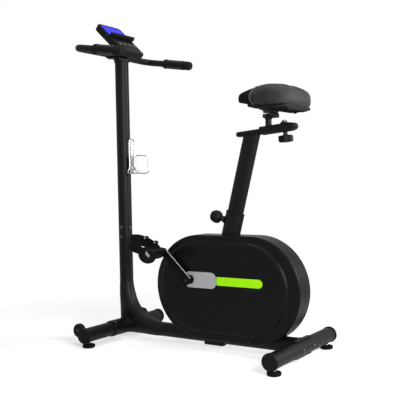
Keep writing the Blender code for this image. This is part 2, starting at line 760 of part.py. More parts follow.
def make_saddle_base():
    """The plate under the cushion, with the upper half of the clamp and the tilt pin."""
    rows = []
    for x, half, low, _, _ in SADDLE[2:-3]:
        deep = 0.0050 if x < CLAMP_X[0] - 0.015 else 0.0020
        rows.append(soft_box(Vector((x, 0, low - deep - GAP / 3)), Y, Z, half * 0.80, deep, 0.0015, 12))
    base = skin("saddle_base", rows, "rubber")
    (x0, x1), half = CLAMP_X, CLAMP_HALF - 0.0043
    upper = block("clamp_upper", (x0, -half, TILT_PIN.z + 0.0053), (x1, half, TILT_PIN.z + 0.0120))
    low, high = TILT_PIN - X * 0.005, TILT_PIN + X * 0.005 + Z * 0.008
    neck = block("tilt_neck", (low.x, -half, low.z), (high.x, half, high.z))
    lug = rod("tilt_lug", TILT_PIN - Y * half, TILT_PIN + Y * half, 0.0060, None, 16)
    pin = rod("tilt_pin", TILT_PIN - Y * CLAMP_HALF, TILT_PIN + Y * CLAMP_HALF, 0.0040, None, 16)
    fuse(base, upper, neck, lug, pin)


def make_saddle_clamp():
    """The lower half of the clamp: a socket on the stub, and two cheeks for the tilt pin."""
    (x0, x1), slot = CLAMP_X, CLAMP_HALF - 0.0040
    low, top = TILT_PIN.z - 0.0135, TILT_PIN.z + 0.0015
    clamp = block("saddle_clamp", (x0, -CLAMP_HALF, low), (x1, CLAMP_HALF, top), "frame")
    cheek = arc(TILT_PIN.x, TILT_PIN.z, 0.0085, 0, 180, 8)
    cheek = [(TILT_PIN.x + 0.0085, low + 0.003), *cheek, (TILT_PIN.x - 0.0085, low + 0.003)]
    for k, side in enumerate((-1, 1)):
        fuse(clamp, slab(f"cheek_{k}", cheek, side * (slot - 0.0005), side * (CLAMP_HALF - 0.0002)))
    opening = clear(0.0060, 16, 0.0008)
    well = arc(TILT_PIN.x, TILT_PIN.z, opening, 180, 360, 8)
    well += [(TILT_PIN.x + opening, TILT_PIN.z + 0.02), (TILT_PIN.x - opening, TILT_PIN.z + 0.02)]
    stub = Vector((slide_at(STUB_AFT, 0.0135).x, 0, 0))
    cut(
        clamp,
        slab("lug_well", well, -slot, slot),
        rod("tilt_hole", TILT_PIN - Y * 0.04, TILT_PIN + Y * 0.04, clear(0.0040, 16), None, 16),
        rod("stub_bore", stub + Z * 0.92, stub + Z * (STUB_TOP_Z + GAP), 0.0110 + GAP, None, 20),
    )


def stadium(ends, radius, steps):
    """(x, z) points of a stadium whose ends are arcs about the two given centres."""
    (x0, z0), (x1, z1) = ends
    return arc(x1, z1, radius, -90, 90, steps) + arc(x0, z0, radius, 90, 270, steps)


def case_ring(entry, side, least):
    ends, radius, y = entry
    return [Vector((px, side * max(y, least), pz)) for px, pz in stadium(ends, radius, 15)]


def make_case(name, side):
    """Half of the drive housing: a rolled rim, a flat border, and a raised middle."""
    wall = CASE_WALL
    rim = ((0, 0.0), (0, 0.0390), (-0.0040, 0.0470), (-0.0200, 0.0510))
    face = ((0, 0.0520), (-0.0070, 0.0590), (-0.0240, 0.0615))
    outside = [(CASE_ENDS, CASE_R + grow, y) for grow, y in rim]
    outside += [(PANEL_ENDS, 0.1840 + grow, y) for grow, y in face]
    rim_back = ((-wall, -0.01), (-wall, 0.0370), (-0.0065, 0.0435), (-0.0210, 0.0480))
    face_back = ((-0.0040, 0.0495), (-0.0100, 0.0560), (-0.0255, 0.0615 - wall))
    inside = [(CASE_ENDS, CASE_R + grow, y) for grow, y in rim_back]
    inside += [(PANEL_ENDS, 0.1840 + grow, y) for grow, y in face_back]
    case = skin(name, [case_ring(entry, side, GAP / 2) for entry in outside], "shell")
    hollow = skin(f"{name}_hollow", [case_ring(entry, side, -0.004) for entry in inside])
    long, wide = SEAT_TUBE_SIZE[0] / 2 + 0.0004, SEAT_TUBE_SIZE[1] / 2 + 0.0004
    rings = [oval(seat_at(up), FORE_SEAT, Y, long, wide, 28) for up in (-0.20, 0.02)]
    well = skin(f"{name}_seat_well", rings)
    beam_start, beam_end = Vector((REAR_X + 0.005, 0, BEAM_Z)), Vector((0.15, 0, BEAM_Z))
    beam = rod(f"{name}_beam_well", beam_start, beam_end, POST_R + 0.0002, None, 24)
    hole = rod(f"{name}_axle_hole", CRANK + Y * side * 0.02, CRANK + Y * side * 0.09, 0.0140, None, 20)
    cut(case, hollow, well, beam, hole)


def make_trim(label, side):
    low, high = side * (0.0615 + GAP), side * (0.0615 + 0.0015)
    right, left = -0.1268, 0.0162
    top, bottom = BAND_Z + 0.0325, BAND_Z - 0.0325
    corner = 0.016
    outline = arc(right + corner, top - corner, corner, 180, 90, 5)
    outline += [(left - 0.0110, top), (left, top - 0.007), (left - 0.0160, top - 0.0165)]
    outline += arc(CRANK.x, BAND_Z, 0.0180, 80, 280, 10)
    outline += [(left - 0.0160, bottom + 0.0165), (left, bottom + 0.007), (left - 0.0110, bottom)]
    outline += arc(right + corner, bottom + corner, corner, 270, 180, 5)
    slab(f"panel_{label}", outline, low, high, "silver")
    half, start, end = 0.0170, right - 0.0015, -0.3353
    stripe = [(start, BAND_Z + half), (start, BAND_Z - half)] + arc(end + half, BAND_Z, half, 270, 90, 8)
    slab(f"stripe_{label}", stripe, low, high, "green")


def make_drive():
    axle = (
        (0.0060, -ARM_Y[1]),
        (0.0080, -ARM_Y[1] + 0.001),
        (0.0080, -0.0450),
        (0.0100, -0.0450),
        (0.0100, 0.0450),
        (0.0080, 0.0450),
        (0.0080, ARM_Y[1] - 0.001),
        (0.0060, ARM_Y[1]),
    )
    lathe("crank_axle", CRANK, Y, axle, "steel", 20)
    for name, side in (("bearing_left", 1), ("bearing_right", -1)):
        bore, rim = clear(0.0100, 20), 0.0200
        profile = ((bore, 0.0220), (rim, 0.0220), (rim, 0.0340), (bore, 0.0340))
        lathe(name, CRANK, Y * side, profile, "steel", 20, loop=True)
    wheel = (
        (0.0100 + GAP, -0.0440),
        (0.1250, -0.0440),
        (0.1280, -0.0450),
        (0.1280, -0.0440),
        (0.1250, -0.0435),
        (0.1250, -0.0365),
        (0.1280, -0.0360),
        (0.1280, -0.0350),
        (0.1180, -0.0360),
        (0.1150, -0.0385),
        (0.0240, -0.0385),
        (0.0240, -0.0360),
        (0.0100 + GAP, -0.0360),
    )
    lathe("drive_pulley", CRANK, Y, wheel, "shell", 28, loop=True)
    bore = clear(0.0060, 28)
    fly = (
        (bore, 0.0180),
        (0.0160, 0.0180),
        (0.0160, 0.0060),
        (0.0980, 0.0060),
        (0.1020, 0.0100),
        (0.1250, 0.0100),
        (0.1250, -0.0100),
        (0.1020, -0.0100),
        (0.0980, -0.0060),
        (0.0260, -0.0060),
        (0.0260, -0.0368),
        (0.0230, -0.0370),
        (0.0230, -0.0436),
        (0.0260, -0.0440),
        (0.0260, -0.0460),
        (bore, -0.0460),
    )
    lathe("flywheel", FLYWHEEL, Y, fly, "steel", 28, loop=True)
    rod_profile = (
        (0.0050, -0.0535),
        (0.0060, -0.0525),
        (0.0060, 0.0245),
        (0.0050, 0.0255),
    )
    lathe("flywheel_axle", FLYWHEEL, Y, rod_profile, "steel", 16)
    make_belt()
    make_brake()


def make_belt():
    """A flat loop round both pulleys, in the plane of their grooves."""
    y0, y1 = -0.0433, -0.0372
    big, small = 0.1257, 0.0237
    across_x, across_z = FLYWHEEL.x - CRANK.x, FLYWHEEL.z - CRANK.z
    span = math.hypot(across_x, across_z)
    heading = math.degrees(math.atan2(across_z, across_x))
    lean = math.degrees(math.acos((big - small) / span))

    def loop_at(extra):
        wide = arc(CRANK.x, CRANK.z, big + extra, heading + lean, heading + 360 - lean, 26)
        tight = arc(FLYWHEEL.x, FLYWHEEL.z, small + extra, heading - lean, heading + lean, 8)
        return wide + tight

    inner, outer = loop_at(0.0), loop_at(0.0020)
    rings = []
    for points, y in ((inner, y0), (outer, y0), (outer, y1), (inner, y1)):
        rings.append([Vector((px, y, pz)) for px, pz in points])
    skin("drive_belt", rings, "rubber", loop=True)


def make_brake():
    steps = 10
    inside = arc(FLYWHEEL.x, FLYWHEEL.z, 0.1280, 62, 128, steps)
    outside = arc(FLYWHEEL.x, FLYWHEEL.z, 0.1480, 128, 62, steps)
    shoe = slab("brake_arm", inside + outside, -0.0120, 0.0115, "steel")
    eye = rod("brake_eye", BRAKE_PIVOT - Y * 0.0120, BRAKE_PIVOT + Y * 0.0118, 0.0090, None, 16)
    pin = rod("brake_pin", BRAKE_PIVOT, BRAKE_PIVOT + Y * 0.0185, 0.0040, None, 16)
    fuse(shoe, eye, pin)
    box = block("brake_motor", (-0.2300, -0.0180, 0.4010), (-0.2000, 0.0125 - GAP, 0.4360), "shell")
    soften(box, 0.0015)


def crank_end(side):
    turn = CRANK_ANGLE if side > 0 else CRANK_ANGLE + math.pi
    return CRANK + Vector((math.cos(turn), 0, math.sin(turn))) * CRANK_LENGTH


def make_crank(name, side):
    end = crank_end(side)
    along = (end - CRANK).normalized()
    heading = math.degrees(math.atan2(along.z, along.x))
    outline = arc(CRANK.x, CRANK.z, 0.0165, heading + 90, heading + 270, 10)
    outline += arc(end.x, end.z, 0.0135, heading - 90, heading + 90, 10)
    inner, outer = (side * y for y in ARM_Y)
    arm = slab(name, outline, inner, outer, "frame")
    boss = rod(f"{name}_boss", CRANK + Y * side * 0.0665, CRANK + Y * side * 0.0800, 0.0150, None, 20)
    fuse(arm, boss)
    cut(arm, rod(f"{name}_eye", CRANK + Y * side * 0.05, CRANK + Y * side * 0.10, 0.0080 + GAP, None, 20))
    cut(arm, rod(f"{name}_thread", end + Y * side * 0.07, end + Y * side * 0.10, clear(0.0070, 16), None, 16))


def make_pedal(label, side):
    name = f"pedal_{label}"
    hub = crank_end(side)
    fore = Vector((math.cos(PEDAL_TILT), 0, math.sin(PEDAL_TILT)))
    up = Vector((-math.sin(PEDAL_TILT), 0, math.cos(PEDAL_TILT)))
    first, last = PEDAL_Y

    def place(a, b, y):
        return hub + fore * a + up * b + Y * side * y

    def plate(label, outline, y0, y1, look=None):
        return skin(label, [[place(a, b, y) for a, b in outline] for y in (y0, y1)], look)

    turns = [math.radians(-80 + 20 * i) for i in range(9)]
    flange = [(-0.042, 0.020), *[(0.043 * math.sin(t), -0.034 * math.cos(t)) for t in turns], (0.042, 0.020)]
    body = plate(name, flange, last - 0.008, last, "rubber")
    soften(body, 0.0015)
    outline = [(-0.034, -0.013), (0.034, -0.013), (0.041, 0.0)]
    outline += [(0.041, 0.018), (-0.041, 0.018), (-0.034, 0.0)]
    fuse(body, plate(f"{name}_core", outline, first, last - 0.002))
    for k, a in enumerate((-0.034, 0.034)):
        outline = [(a - 0.004, 0.010), (a + 0.004, 0.010), (a + 0.003, 0.0225), (a - 0.003, 0.0225)]
        fuse(body, plate(f"{name}_rib_{k}", outline, first + 0.002, last - 0.004))
    outward = Y * side
    for label_end, start, end, radius in (
        ("spindle", ARM_Y[0] + 0.001, 0.12, 0.0070),
        ("collar", ARM_Y[1] + GAP, 0.10, 0.0110),
    ):
        fuse(body, rod(f"{name}_{label_end}", hub + outward * start, hub + outward * end, radius, None, 16))
    lean = math.radians(75)
    lead = fore * math.sin(lean) + up * math.cos(lean)
    flat = fore * math.cos(lean) - up * math.sin(lean)
    root = fore * 0.006 + up * 0.014
    trail = (  # across the pedal, out along the lean, half the width
        (last + 0.0015, -0.004, 0.012),
        (last + 0.0040, 0.022, 0.018),
        (last + 0.0040, 0.052, 0.023),
        (last - 0.0060, 0.080, 0.024),
        (0.176, 0.098, 0.024),
        (0.146, 0.102, 0.024),
        (0.118, 0.092, 0.024),
        (0.102, 0.066, 0.023),
        (0.0950, 0.038, 0.018),
        (0.0948, 0.012, 0.012),
    )
    path = [hub + root + Y * side * y + lead * h for y, h, _ in trail]
    rings = []
    for i, here in enumerate(path):
        way = (path[min(i + 1, len(path) - 1)] - path[max(i - 1, 0)]).normalized()
        outward = way.cross(flat).normalized()
        half = trail[i][2]
        section = ((-half, -0.0012), (half, -0.0012), (half, 0.0012), (-half, 0.0012))
        rings.append([here + flat * a + outward * b for a, b in section])
    skin(f"pedal_strap_{label}", rings, "rubber")


def carry(obj, pivot, back):
    """Puts a piece, and the helpers of its modifiers, under the empty on its joint's axis."""
    obj.data.transform(back)
    obj.parent = pivot
    for change in obj.modifiers:
        if change.type == "BOOLEAN":
            carry(change.object, pivot, back)


def hang(name, point, axis, pieces, parent=None):
    """Makes an empty on a joint's axis, its Z along the axis, and the pieces that move on it its children."""
    pivot = bpy.data.objects.new(name, None)
    bpy.context.collection.objects.link(pivot)
    pivot.empty_display_type = "SINGLE_ARROW"
    pivot.empty_display_size = 0.05
    place = Matrix.LocRotScale(point, axis.to_track_quat("Z", "Y"), None)
    pivot.matrix_basis = parent[1].inverted() @ place if parent else place
    pivot.parent = parent[0] if parent else None
    for piece in pieces:
        carry(bpy.data.objects[piece], pivot, place.inverted())
    return pivot, place


def make_joints():
    hang("flywheel_axis", FLYWHEEL, Y, ["flywheel"])
    crank = hang("crank_axis", CRANK, Y, ["crank_axle", "drive_pulley", "crank_left", "crank_right"])
    for label, side in (("left", 1), ("right", -1)):
        pedal = crank_end(side) + Y * side * sum(PEDAL_Y) / 2
        hang(f"pedal_{label}_axis", pedal, Y, [f"pedal_{label}", f"pedal_strap_{label}"], crank)
        wheel = Vector((WHEEL_X, side * sum(WHEEL_Y) / 2, WHEEL_Z))
        hang(f"wheel_{label}_axis", wheel, Y, [f"transport_wheel_{label}"])
        for end, x in (("front", FRONT_X), ("rear", REAR_X)):
            hang(f"{end}_foot_{label}_axis", Vector((x, side * FOOT_Y, 0)), -Z, [f"{end}_foot_{label}"])
    hang("brake_axis", BRAKE_PIVOT, Y, ["brake_arm"])
    hang("pin_axis", seat_at(-POP_PIN_DROP), FORE_SEAT, ["pop_pin"])
    seat = hang("height_axis", SEAT_MOUTH, UP_SEAT, ["seat_post"])
    pieces = ["seat_carriage", "carriage_cap", "saddle_clamp"]
    carriage = hang("carriage_axis", SLIDE_NOSE, AFT, pieces, seat)
    hang("knob_axis", slide_at(CLAMP_AFT), SLIDE_UP, ["slide_knob"], carriage)
    hang("tilt_axis", TILT_PIN, Y, ["saddle_base", "saddle_cushion"], carriage)
    for k in range(4):
        hang(f"button_{k + 1}_axis", button_at(k), -CONSOLE_OUT, [f"button_{k + 1}"])


def main():
    for obj in list(bpy.data.objects):
        bpy.data.objects.remove(obj)
    make_frame()
    make_cross_tube("front_stabiliser", FRONT_X, False)
    make_cross_tube("rear_stabiliser", REAR_X, True)
    for label, side in (("left", 1), ("right", -1)):
        make_end_cap(f"front_cap_{label}", FRONT_X, side)
        make_end_cap(f"rear_cap_{label}", REAR_X, side)
        make_wheel(f"transport_wheel_{label}", side)
        make_foot(f"front_foot_{label}", FRONT_X, side * FOOT_Y)
        make_foot(f"rear_foot_{label}", REAR_X, side * FOOT_Y)
        make_rear_bolt(f"rear_bolt_{label}", side * REAR_BOLT_Y)
        make_case(f"case_{label}", side)
        make_trim(label, side)
        make_crank(f"crank_{label}", side)
        make_pedal(label, side)
    make_posts()
    make_bar_head()
    make_handlebar()
    make_console()
    make_bottle_cage()
    make_seat_post()
    make_seat_fittings()
    make_carriage()
    make_slide_knob()
    make_saddle()
    make_drive()
    make_joints()


main()
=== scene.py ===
from math import copysign, cos, degrees, exp, pi, radians, sin, sqrt, tan, tau

import bmesh
import bpy
import numpy as np
from mathutils import Matrix, Vector, noise
from mathutils.bvhtree import BVHTree
from mathutils.kdtree import KDTree


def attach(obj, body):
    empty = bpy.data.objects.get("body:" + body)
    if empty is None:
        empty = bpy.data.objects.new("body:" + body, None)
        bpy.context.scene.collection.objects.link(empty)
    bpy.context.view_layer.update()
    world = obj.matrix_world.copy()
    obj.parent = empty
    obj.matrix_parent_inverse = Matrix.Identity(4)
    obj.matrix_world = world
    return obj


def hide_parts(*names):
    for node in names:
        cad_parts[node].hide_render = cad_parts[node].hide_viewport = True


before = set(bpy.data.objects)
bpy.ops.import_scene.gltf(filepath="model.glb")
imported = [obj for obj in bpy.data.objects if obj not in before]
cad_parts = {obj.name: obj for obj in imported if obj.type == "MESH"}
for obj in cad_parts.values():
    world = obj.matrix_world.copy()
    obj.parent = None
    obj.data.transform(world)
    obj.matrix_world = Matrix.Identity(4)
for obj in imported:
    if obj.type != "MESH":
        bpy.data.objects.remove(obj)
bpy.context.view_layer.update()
scene = bpy.context.scene
xAxis, yAxis, zAxis = Vector((1, 0, 0)), Vector((0, 1, 0)), Vector((0, 0, 1))
fullTurn = tau


def mm(values):
    # millimetres to metres, however the numbers are nested
    if isinstance(values, (tuple, list)):
        return type(values)(mm(value) for value in values)
    return values / 1000


# every shape function gives back a bmesh in the bike's own frame, in metres

def polar(centre, u, v, radiusU, radiusV, steps):
    turns = [fullTurn * (k + 0.5) / steps for k in range(steps)]
    return [centre + u * (radiusU * cos(t)) + v * (radiusV * sin(t)) for t in turns]


def tiltedAxes(angle):
    # ahead and up, turned from the level in the bike's middle plane
    return Vector((cos(angle), 0, sin(angle))), Vector((-sin(angle), 0, cos(angle)))


def squircle(centre, u, v, halfU, halfV, powers, steps):
    # powers: along u and v in the upper half, then in the lower half
    ring = []
    for k in range(steps):
        t = fullTurn * (k + 0.5) / steps
        c, s = cos(t), sin(t)
        across, upright = powers[:2] if s > 0 else powers[2:]
        side, lift = copysign(abs(c) ** across, c), copysign(abs(s) ** upright, s)
        ring.append(centre + u * (halfU * side) + v * (halfV * lift))
    return ring


def roundRect(centre, u, v, halfU, halfV, corner, perCorner=6):
    ring = []
    for k, (a, b) in enumerate(((1, 1), (-1, 1), (-1, -1), (1, -1))):
        for i in range(perCorner + 1):
            t = pi / 2 * (k + i / perCorner)
            p = a * (halfU - corner) + corner * cos(t)
            q = b * (halfV - corner) + corner * sin(t)
            ring.append(centre + u * p + v * q)
    return ring


def loft(rings, looped=False):
    bm = bmesh.new()
    rows = [[bm.verts.new(p) for p in ring] for ring in rings]
    count = len(rows[0])
    pairs = list(zip(rows, rows[1:]))
    if looped:
        pairs.append((rows[-1], rows[0]))
    for low, high in pairs:
        for k in range(count):
            n = (k + 1) % count
            bm.faces.new((low[k], low[n], high[n], high[k]))
    if not looped:
        bm.faces.new(rows[0][::-1])
        bm.faces.new(rows[-1])
    bmesh.ops.recalc_face_normals(bm, faces=bm.faces)
    return bm


def crossAxes(axis):
    side = axis.orthogonal().normalized()
    if abs(axis.dot(zAxis)) < 0.9:
        side = axis.cross(zAxis).normalized()
    return side, axis.cross(side).normalized()


def turned(base, axis, profile, steps=40, looped=False, lobes=None):
    # profile: (radius, distance along the axis); lobes: (count, depth, first row, last row)
    axis = axis.normalized()
    u, v = crossAxes(axis)
    rings = []
    for row, (radius, along) in enumerate(profile):
        ring = []
        for k in range(steps):
            t = fullTurn * k / steps
            r = radius
            if lobes and lobes[2] <= row <= lobes[3]:
                r -= lobes[1] * (0.5 - 0.5 * cos(t * lobes[0])) ** 1.6
            ring.append(base + axis * along + (u * cos(t) + v * sin(t)) * r)
        rings.append(ring)
    return loft(rings, looped)


def rod(base, axis, radius, low, high, steps):
    return turned(base, axis, [(radius, low), (radius, high)], steps)


def filleted(corners, radius, steps=8, looped=False):
    path = []
    count = len(corners)
    for k, corner in enumerate(corners):
        if not looped and k in (0, count - 1):
            path.append(corner.copy())
            continue
        back, ahead = corners[k - 1] - corner, corners[(k + 1) % count] - corner
        angle = back.angle(ahead)
        if angle > 3.13:
            path.append(corner.copy())
            continue
        reach = min(radius / tan(angle / 2), back.length * 0.49, ahead.length * 0.49)
        bend = reach * tan(angle / 2)
        start, end = corner + back.normalized() * reach, corner + ahead.normalized() * reach
        middle = corner + (back.normalized() + ahead.normalized()).normalized() * (bend / sin(angle / 2))
        a, b = start - middle, end - middle
        swing = a.angle(b)
        for i in range(steps + 1):
            f = i / steps
            path.append(middle + (a * sin((1 - f) * swing) + b * sin(f * swing)) / sin(swing))
    return path


def swept(path, section, looped=False, scales=None):
    # section: (sideways, upwards) points carried along the path without twisting
    count = len(path)
    ways = []
    for k in range(count):
        ahead = path[(k + 1) % count] if looped else path[min(k + 1, count - 1)]
        behind = path[k - 1] if looped or k else path[0]
        ways.append((ahead - behind).normalized())
    lift = crossAxes(ways[0])[1]
    rings = []
    for k, (here, way) in enumerate(zip(path, ways)):
        lift = (lift - way * lift.dot(way)).normalized()
        side = way.cross(lift).normalized()
        over = side.cross(way).normalized()
        grow = scales[k] if scales else 1.0
        rings.append([here + side * (a * grow) + over * (b * grow) for a, b in section])
    return loft(rings, looped)


def roundSection(radius, steps=24):
    turns = [fullTurn * k / steps for k in range(steps)]
    return [(radius * cos(t), radius * sin(t)) for t in turns]


def prism(outline, axis, low, high):
    # outline: points in a plane square to the axis
    return loft([[p + axis * low for p in outline], [p + axis * high for p in outline]])


def brick(low, high):
    bm = bmesh.new()
    bmesh.ops.create_cube(bm, size=1)
    size, middle = Vector(high) - Vector(low), (Vector(high) + Vector(low)) / 2
    bm.transform(Matrix.Translation(middle) @ Matrix.Diagonal((*size, 1)))
    return bm


def eased(bm, width, segments=3, angle=28):
    edges = [e for e in bm.edges if len(e.link_faces) == 2 and e.calc_face_angle(0) > radians(angle)]
    bmesh.ops.bevel(
        bm, geom=edges, offset=width, segments=segments, profile=0.6, affect="EDGES", clamp_overlap=True
    )
    return bm


def copied(bm, matrix):
    twin = bm.copy()
    twin.transform(matrix)
    if matrix.determinant() < 0:
        bmesh.ops.reverse_faces(twin, faces=twin.faces)
    return twin


acrossBike = Matrix.Diagonal((1, -1, 1, 1))
bothSides = (("left", 1), ("right", -1))
sidePlace = {1: None, -1: acrossBike}  # for what is made on the left and carried over


def asObject(bm, name="scratch"):
    mesh = bpy.data.meshes.new(name)
    bm.to_mesh(mesh)
    obj = bpy.data.objects.new(name, mesh)
    scene.collection.objects.link(obj)
    return obj


def baked(obj):
    # the object's mesh with its modifiers, as a bmesh; the object goes
    graph = bpy.context.evaluated_depsgraph_get()
    bm = bmesh.new()
    bm.from_mesh(obj.evaluated_get(graph).to_mesh())
    mesh = obj.data
    bpy.data.objects.remove(obj)
    bpy.data.meshes.remove(mesh)
    return bm


def carved(bm, tools, operation="DIFFERENCE"):
    target = asObject(bm)
    cutters = [asObject(tool) for tool in flat(tools)]
    for cutter in cutters:
        change = target.modifiers.new("cut", "BOOLEAN")
        change.operation, change.solver, change.object = operation, "EXACT", cutter
    result = baked(target)
    for cutter in cutters:
        bpy.data.objects.remove(cutter)
    bmesh.ops.dissolve_degenerate(result, dist=1e-6, edges=result.edges)
    return result


def remeshed(bm, voxel):
    obj = asObject(bm)
    change = obj.modifiers.new("skin", "REMESH")
    change.mode, change.voxel_size = "VOXEL", voxel
    return baked(obj)


def hexRing(centre, u, v, acrossFlats):
    return [
        centre + (u * cos(t) + v * sin(t)) * (acrossFlats / sqrt(3))
        for t in (fullTurn * k / 6 for k in range(6))
    ]


def hexNut(base, axis, acrossFlats, height):
    axis = axis.normalized()
    u, v = crossAxes(axis)
    bore = acrossFlats * 0.3
    block = loft([hexRing(base + axis * h, u, v, acrossFlats) for h in (0, height)])
    wide, narrow = acrossFlats * 0.8, acrossFlats * 0.47
    crown = turned(base, axis, [(wide, -1e-4), (wide, height * 0.62), (narrow, height + 1e-4)], 36)
    block = carved(block, [crown], "INTERSECT")
    thread = turned(base, axis, [(bore, -0.001), (bore, height * 1.35), (bore * 0.8, height * 1.5)], 20)
    return [eased(block, 0.0002, 1), thread]


def washer(base, axis, radius, bore, thick=0.0012):
    profile = [(bore, 0), (radius, 0), (radius, thick * 0.7), (radius - thick * 0.3, thick), (bore, thick)]
    return turned(base, axis, profile, 32, looped=True)


def domeBolt(base, axis, radius, height, drive="hex"):
    # a button head with its recess, standing on base
    profile = [(radius * 0.96, 0), (radius, height * 0.15)]
    for k in range(1, 8):
        t = radians(10 + 66 * k / 7)
        profile.append((radius * cos(t), height * sin(t)))
    head = turned(base, axis, profile, 32)
    axis = axis.normalized()
    u, v = crossAxes(axis)
    top = base + axis * height
    tools = []
    if drive == "hex":
        tools.append(loft([hexRing(top + axis * h, u, v, radius * 0.72) for h in (-height * 0.62, height)]))
    elif drive == "cross":
        for a, b in ((u, v), (v, u)):
            arm, edge = a * radius * 0.62, b * radius * 0.12
            slot = [top - arm - edge, top + arm - edge, top + arm + edge, top - arm + edge]
            tools.append(prism(slot, axis, -height * 0.55, height))
    return carved(head, tools) if tools else head


def weldBead(path, radius=0.0021, pitch=0.0024, looped=False):
    # overlapping ripples laid along a seam
    even, spare = [path[0].copy()], 0.0
    points = path + ([path[0]] if looped else [])
    step = pitch / 4
    for a, b in zip(points, points[1:]):
        length = (b - a).length
        while length > 1e-9 and spare + length >= step:
            a = a + (b - a) * ((step - spare) / length)
            length = (b - a).length
            spare = 0.0
            even.append(a.copy())
        spare += length
    if looped and (even[-1] - even[0]).length < step * 0.6:
        even.pop()
    scales = []
    for k in range(len(even)):
        ripple = 1.0 - (k % 4) / 4 * 0.26
        scales.append(ripple * (1 + 0.07 * noise.noise(Vector((k * 0.21, radius * 900, 0)))))
    if not looped:
        for k in range(3):
            scales[k] *= 0.4 + 0.2 * k
            scales[-1 - k] *= 0.4 + 0.2 * k
    return swept(even, roundSection(radius, 10), looped, scales=scales)


def flat(shapes):
    if not isinstance(shapes, (list, tuple)):
        return [shapes]
    return [bm for inner in shapes for bm in flat(inner)]


def piece(name, body, parts, slot, replaces=(), label="", weighted=True, sharp=None, place=None):
    # parts: (shape or list of shapes, finish name); place: a matrix for all of them
    # label: which of its kind it is, added to the piece's name and to what it replaces
    if label:
        name, replaces = name + label.title(), [f"{node}_{label}" for node in replaces]
    looks, whole = [], bmesh.new()
    for shapes, look in parts:
        if look not in looks:
            looks.append(look)
        for bm in flat(shapes):
            bm = copied(bm, place) if place else bm
            for face in bm.faces:
                face.material_index = looks.index(look)
                face.smooth = True
            scratch = bpy.data.meshes.new("scratch")
            bm.to_mesh(scratch)
            bm.free()
            whole.from_mesh(scratch)
            bpy.data.meshes.remove(scratch)
    mesh = bpy.data.meshes.new(name)
    whole.to_mesh(mesh)
    whole.free()
    for look in looks:
        mesh.materials.append(finishes[look])
    obj = bpy.data.objects.new(name, mesh)
    scene.collection.objects.link(obj)
    if sharp:
        mesh.set_sharp_from_angle(angle=radians(sharp))
    if weighted:
        change = obj.modifiers.new("flatShading", "WEIGHTED_NORMAL")
        change.keep_sharp, change.weight = bool(sharp), 60
    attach(obj, body)
    if replaces:
        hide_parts(*replaces)
    return obj
def addNode(tree, kind, inputs=(), **settings):
    # inputs: socket name or number, and a value or the output socket to join to it
    node = tree.nodes.new("ShaderNode" + kind)
    for key, value in settings.items():
        setattr(node, key, value)
    for key, value in dict(inputs).items():
        if isinstance(value, bpy.types.NodeSocket):
            tree.links.new(value, node.inputs[key])
        else:
            node.inputs[key].default_value = value
    return node


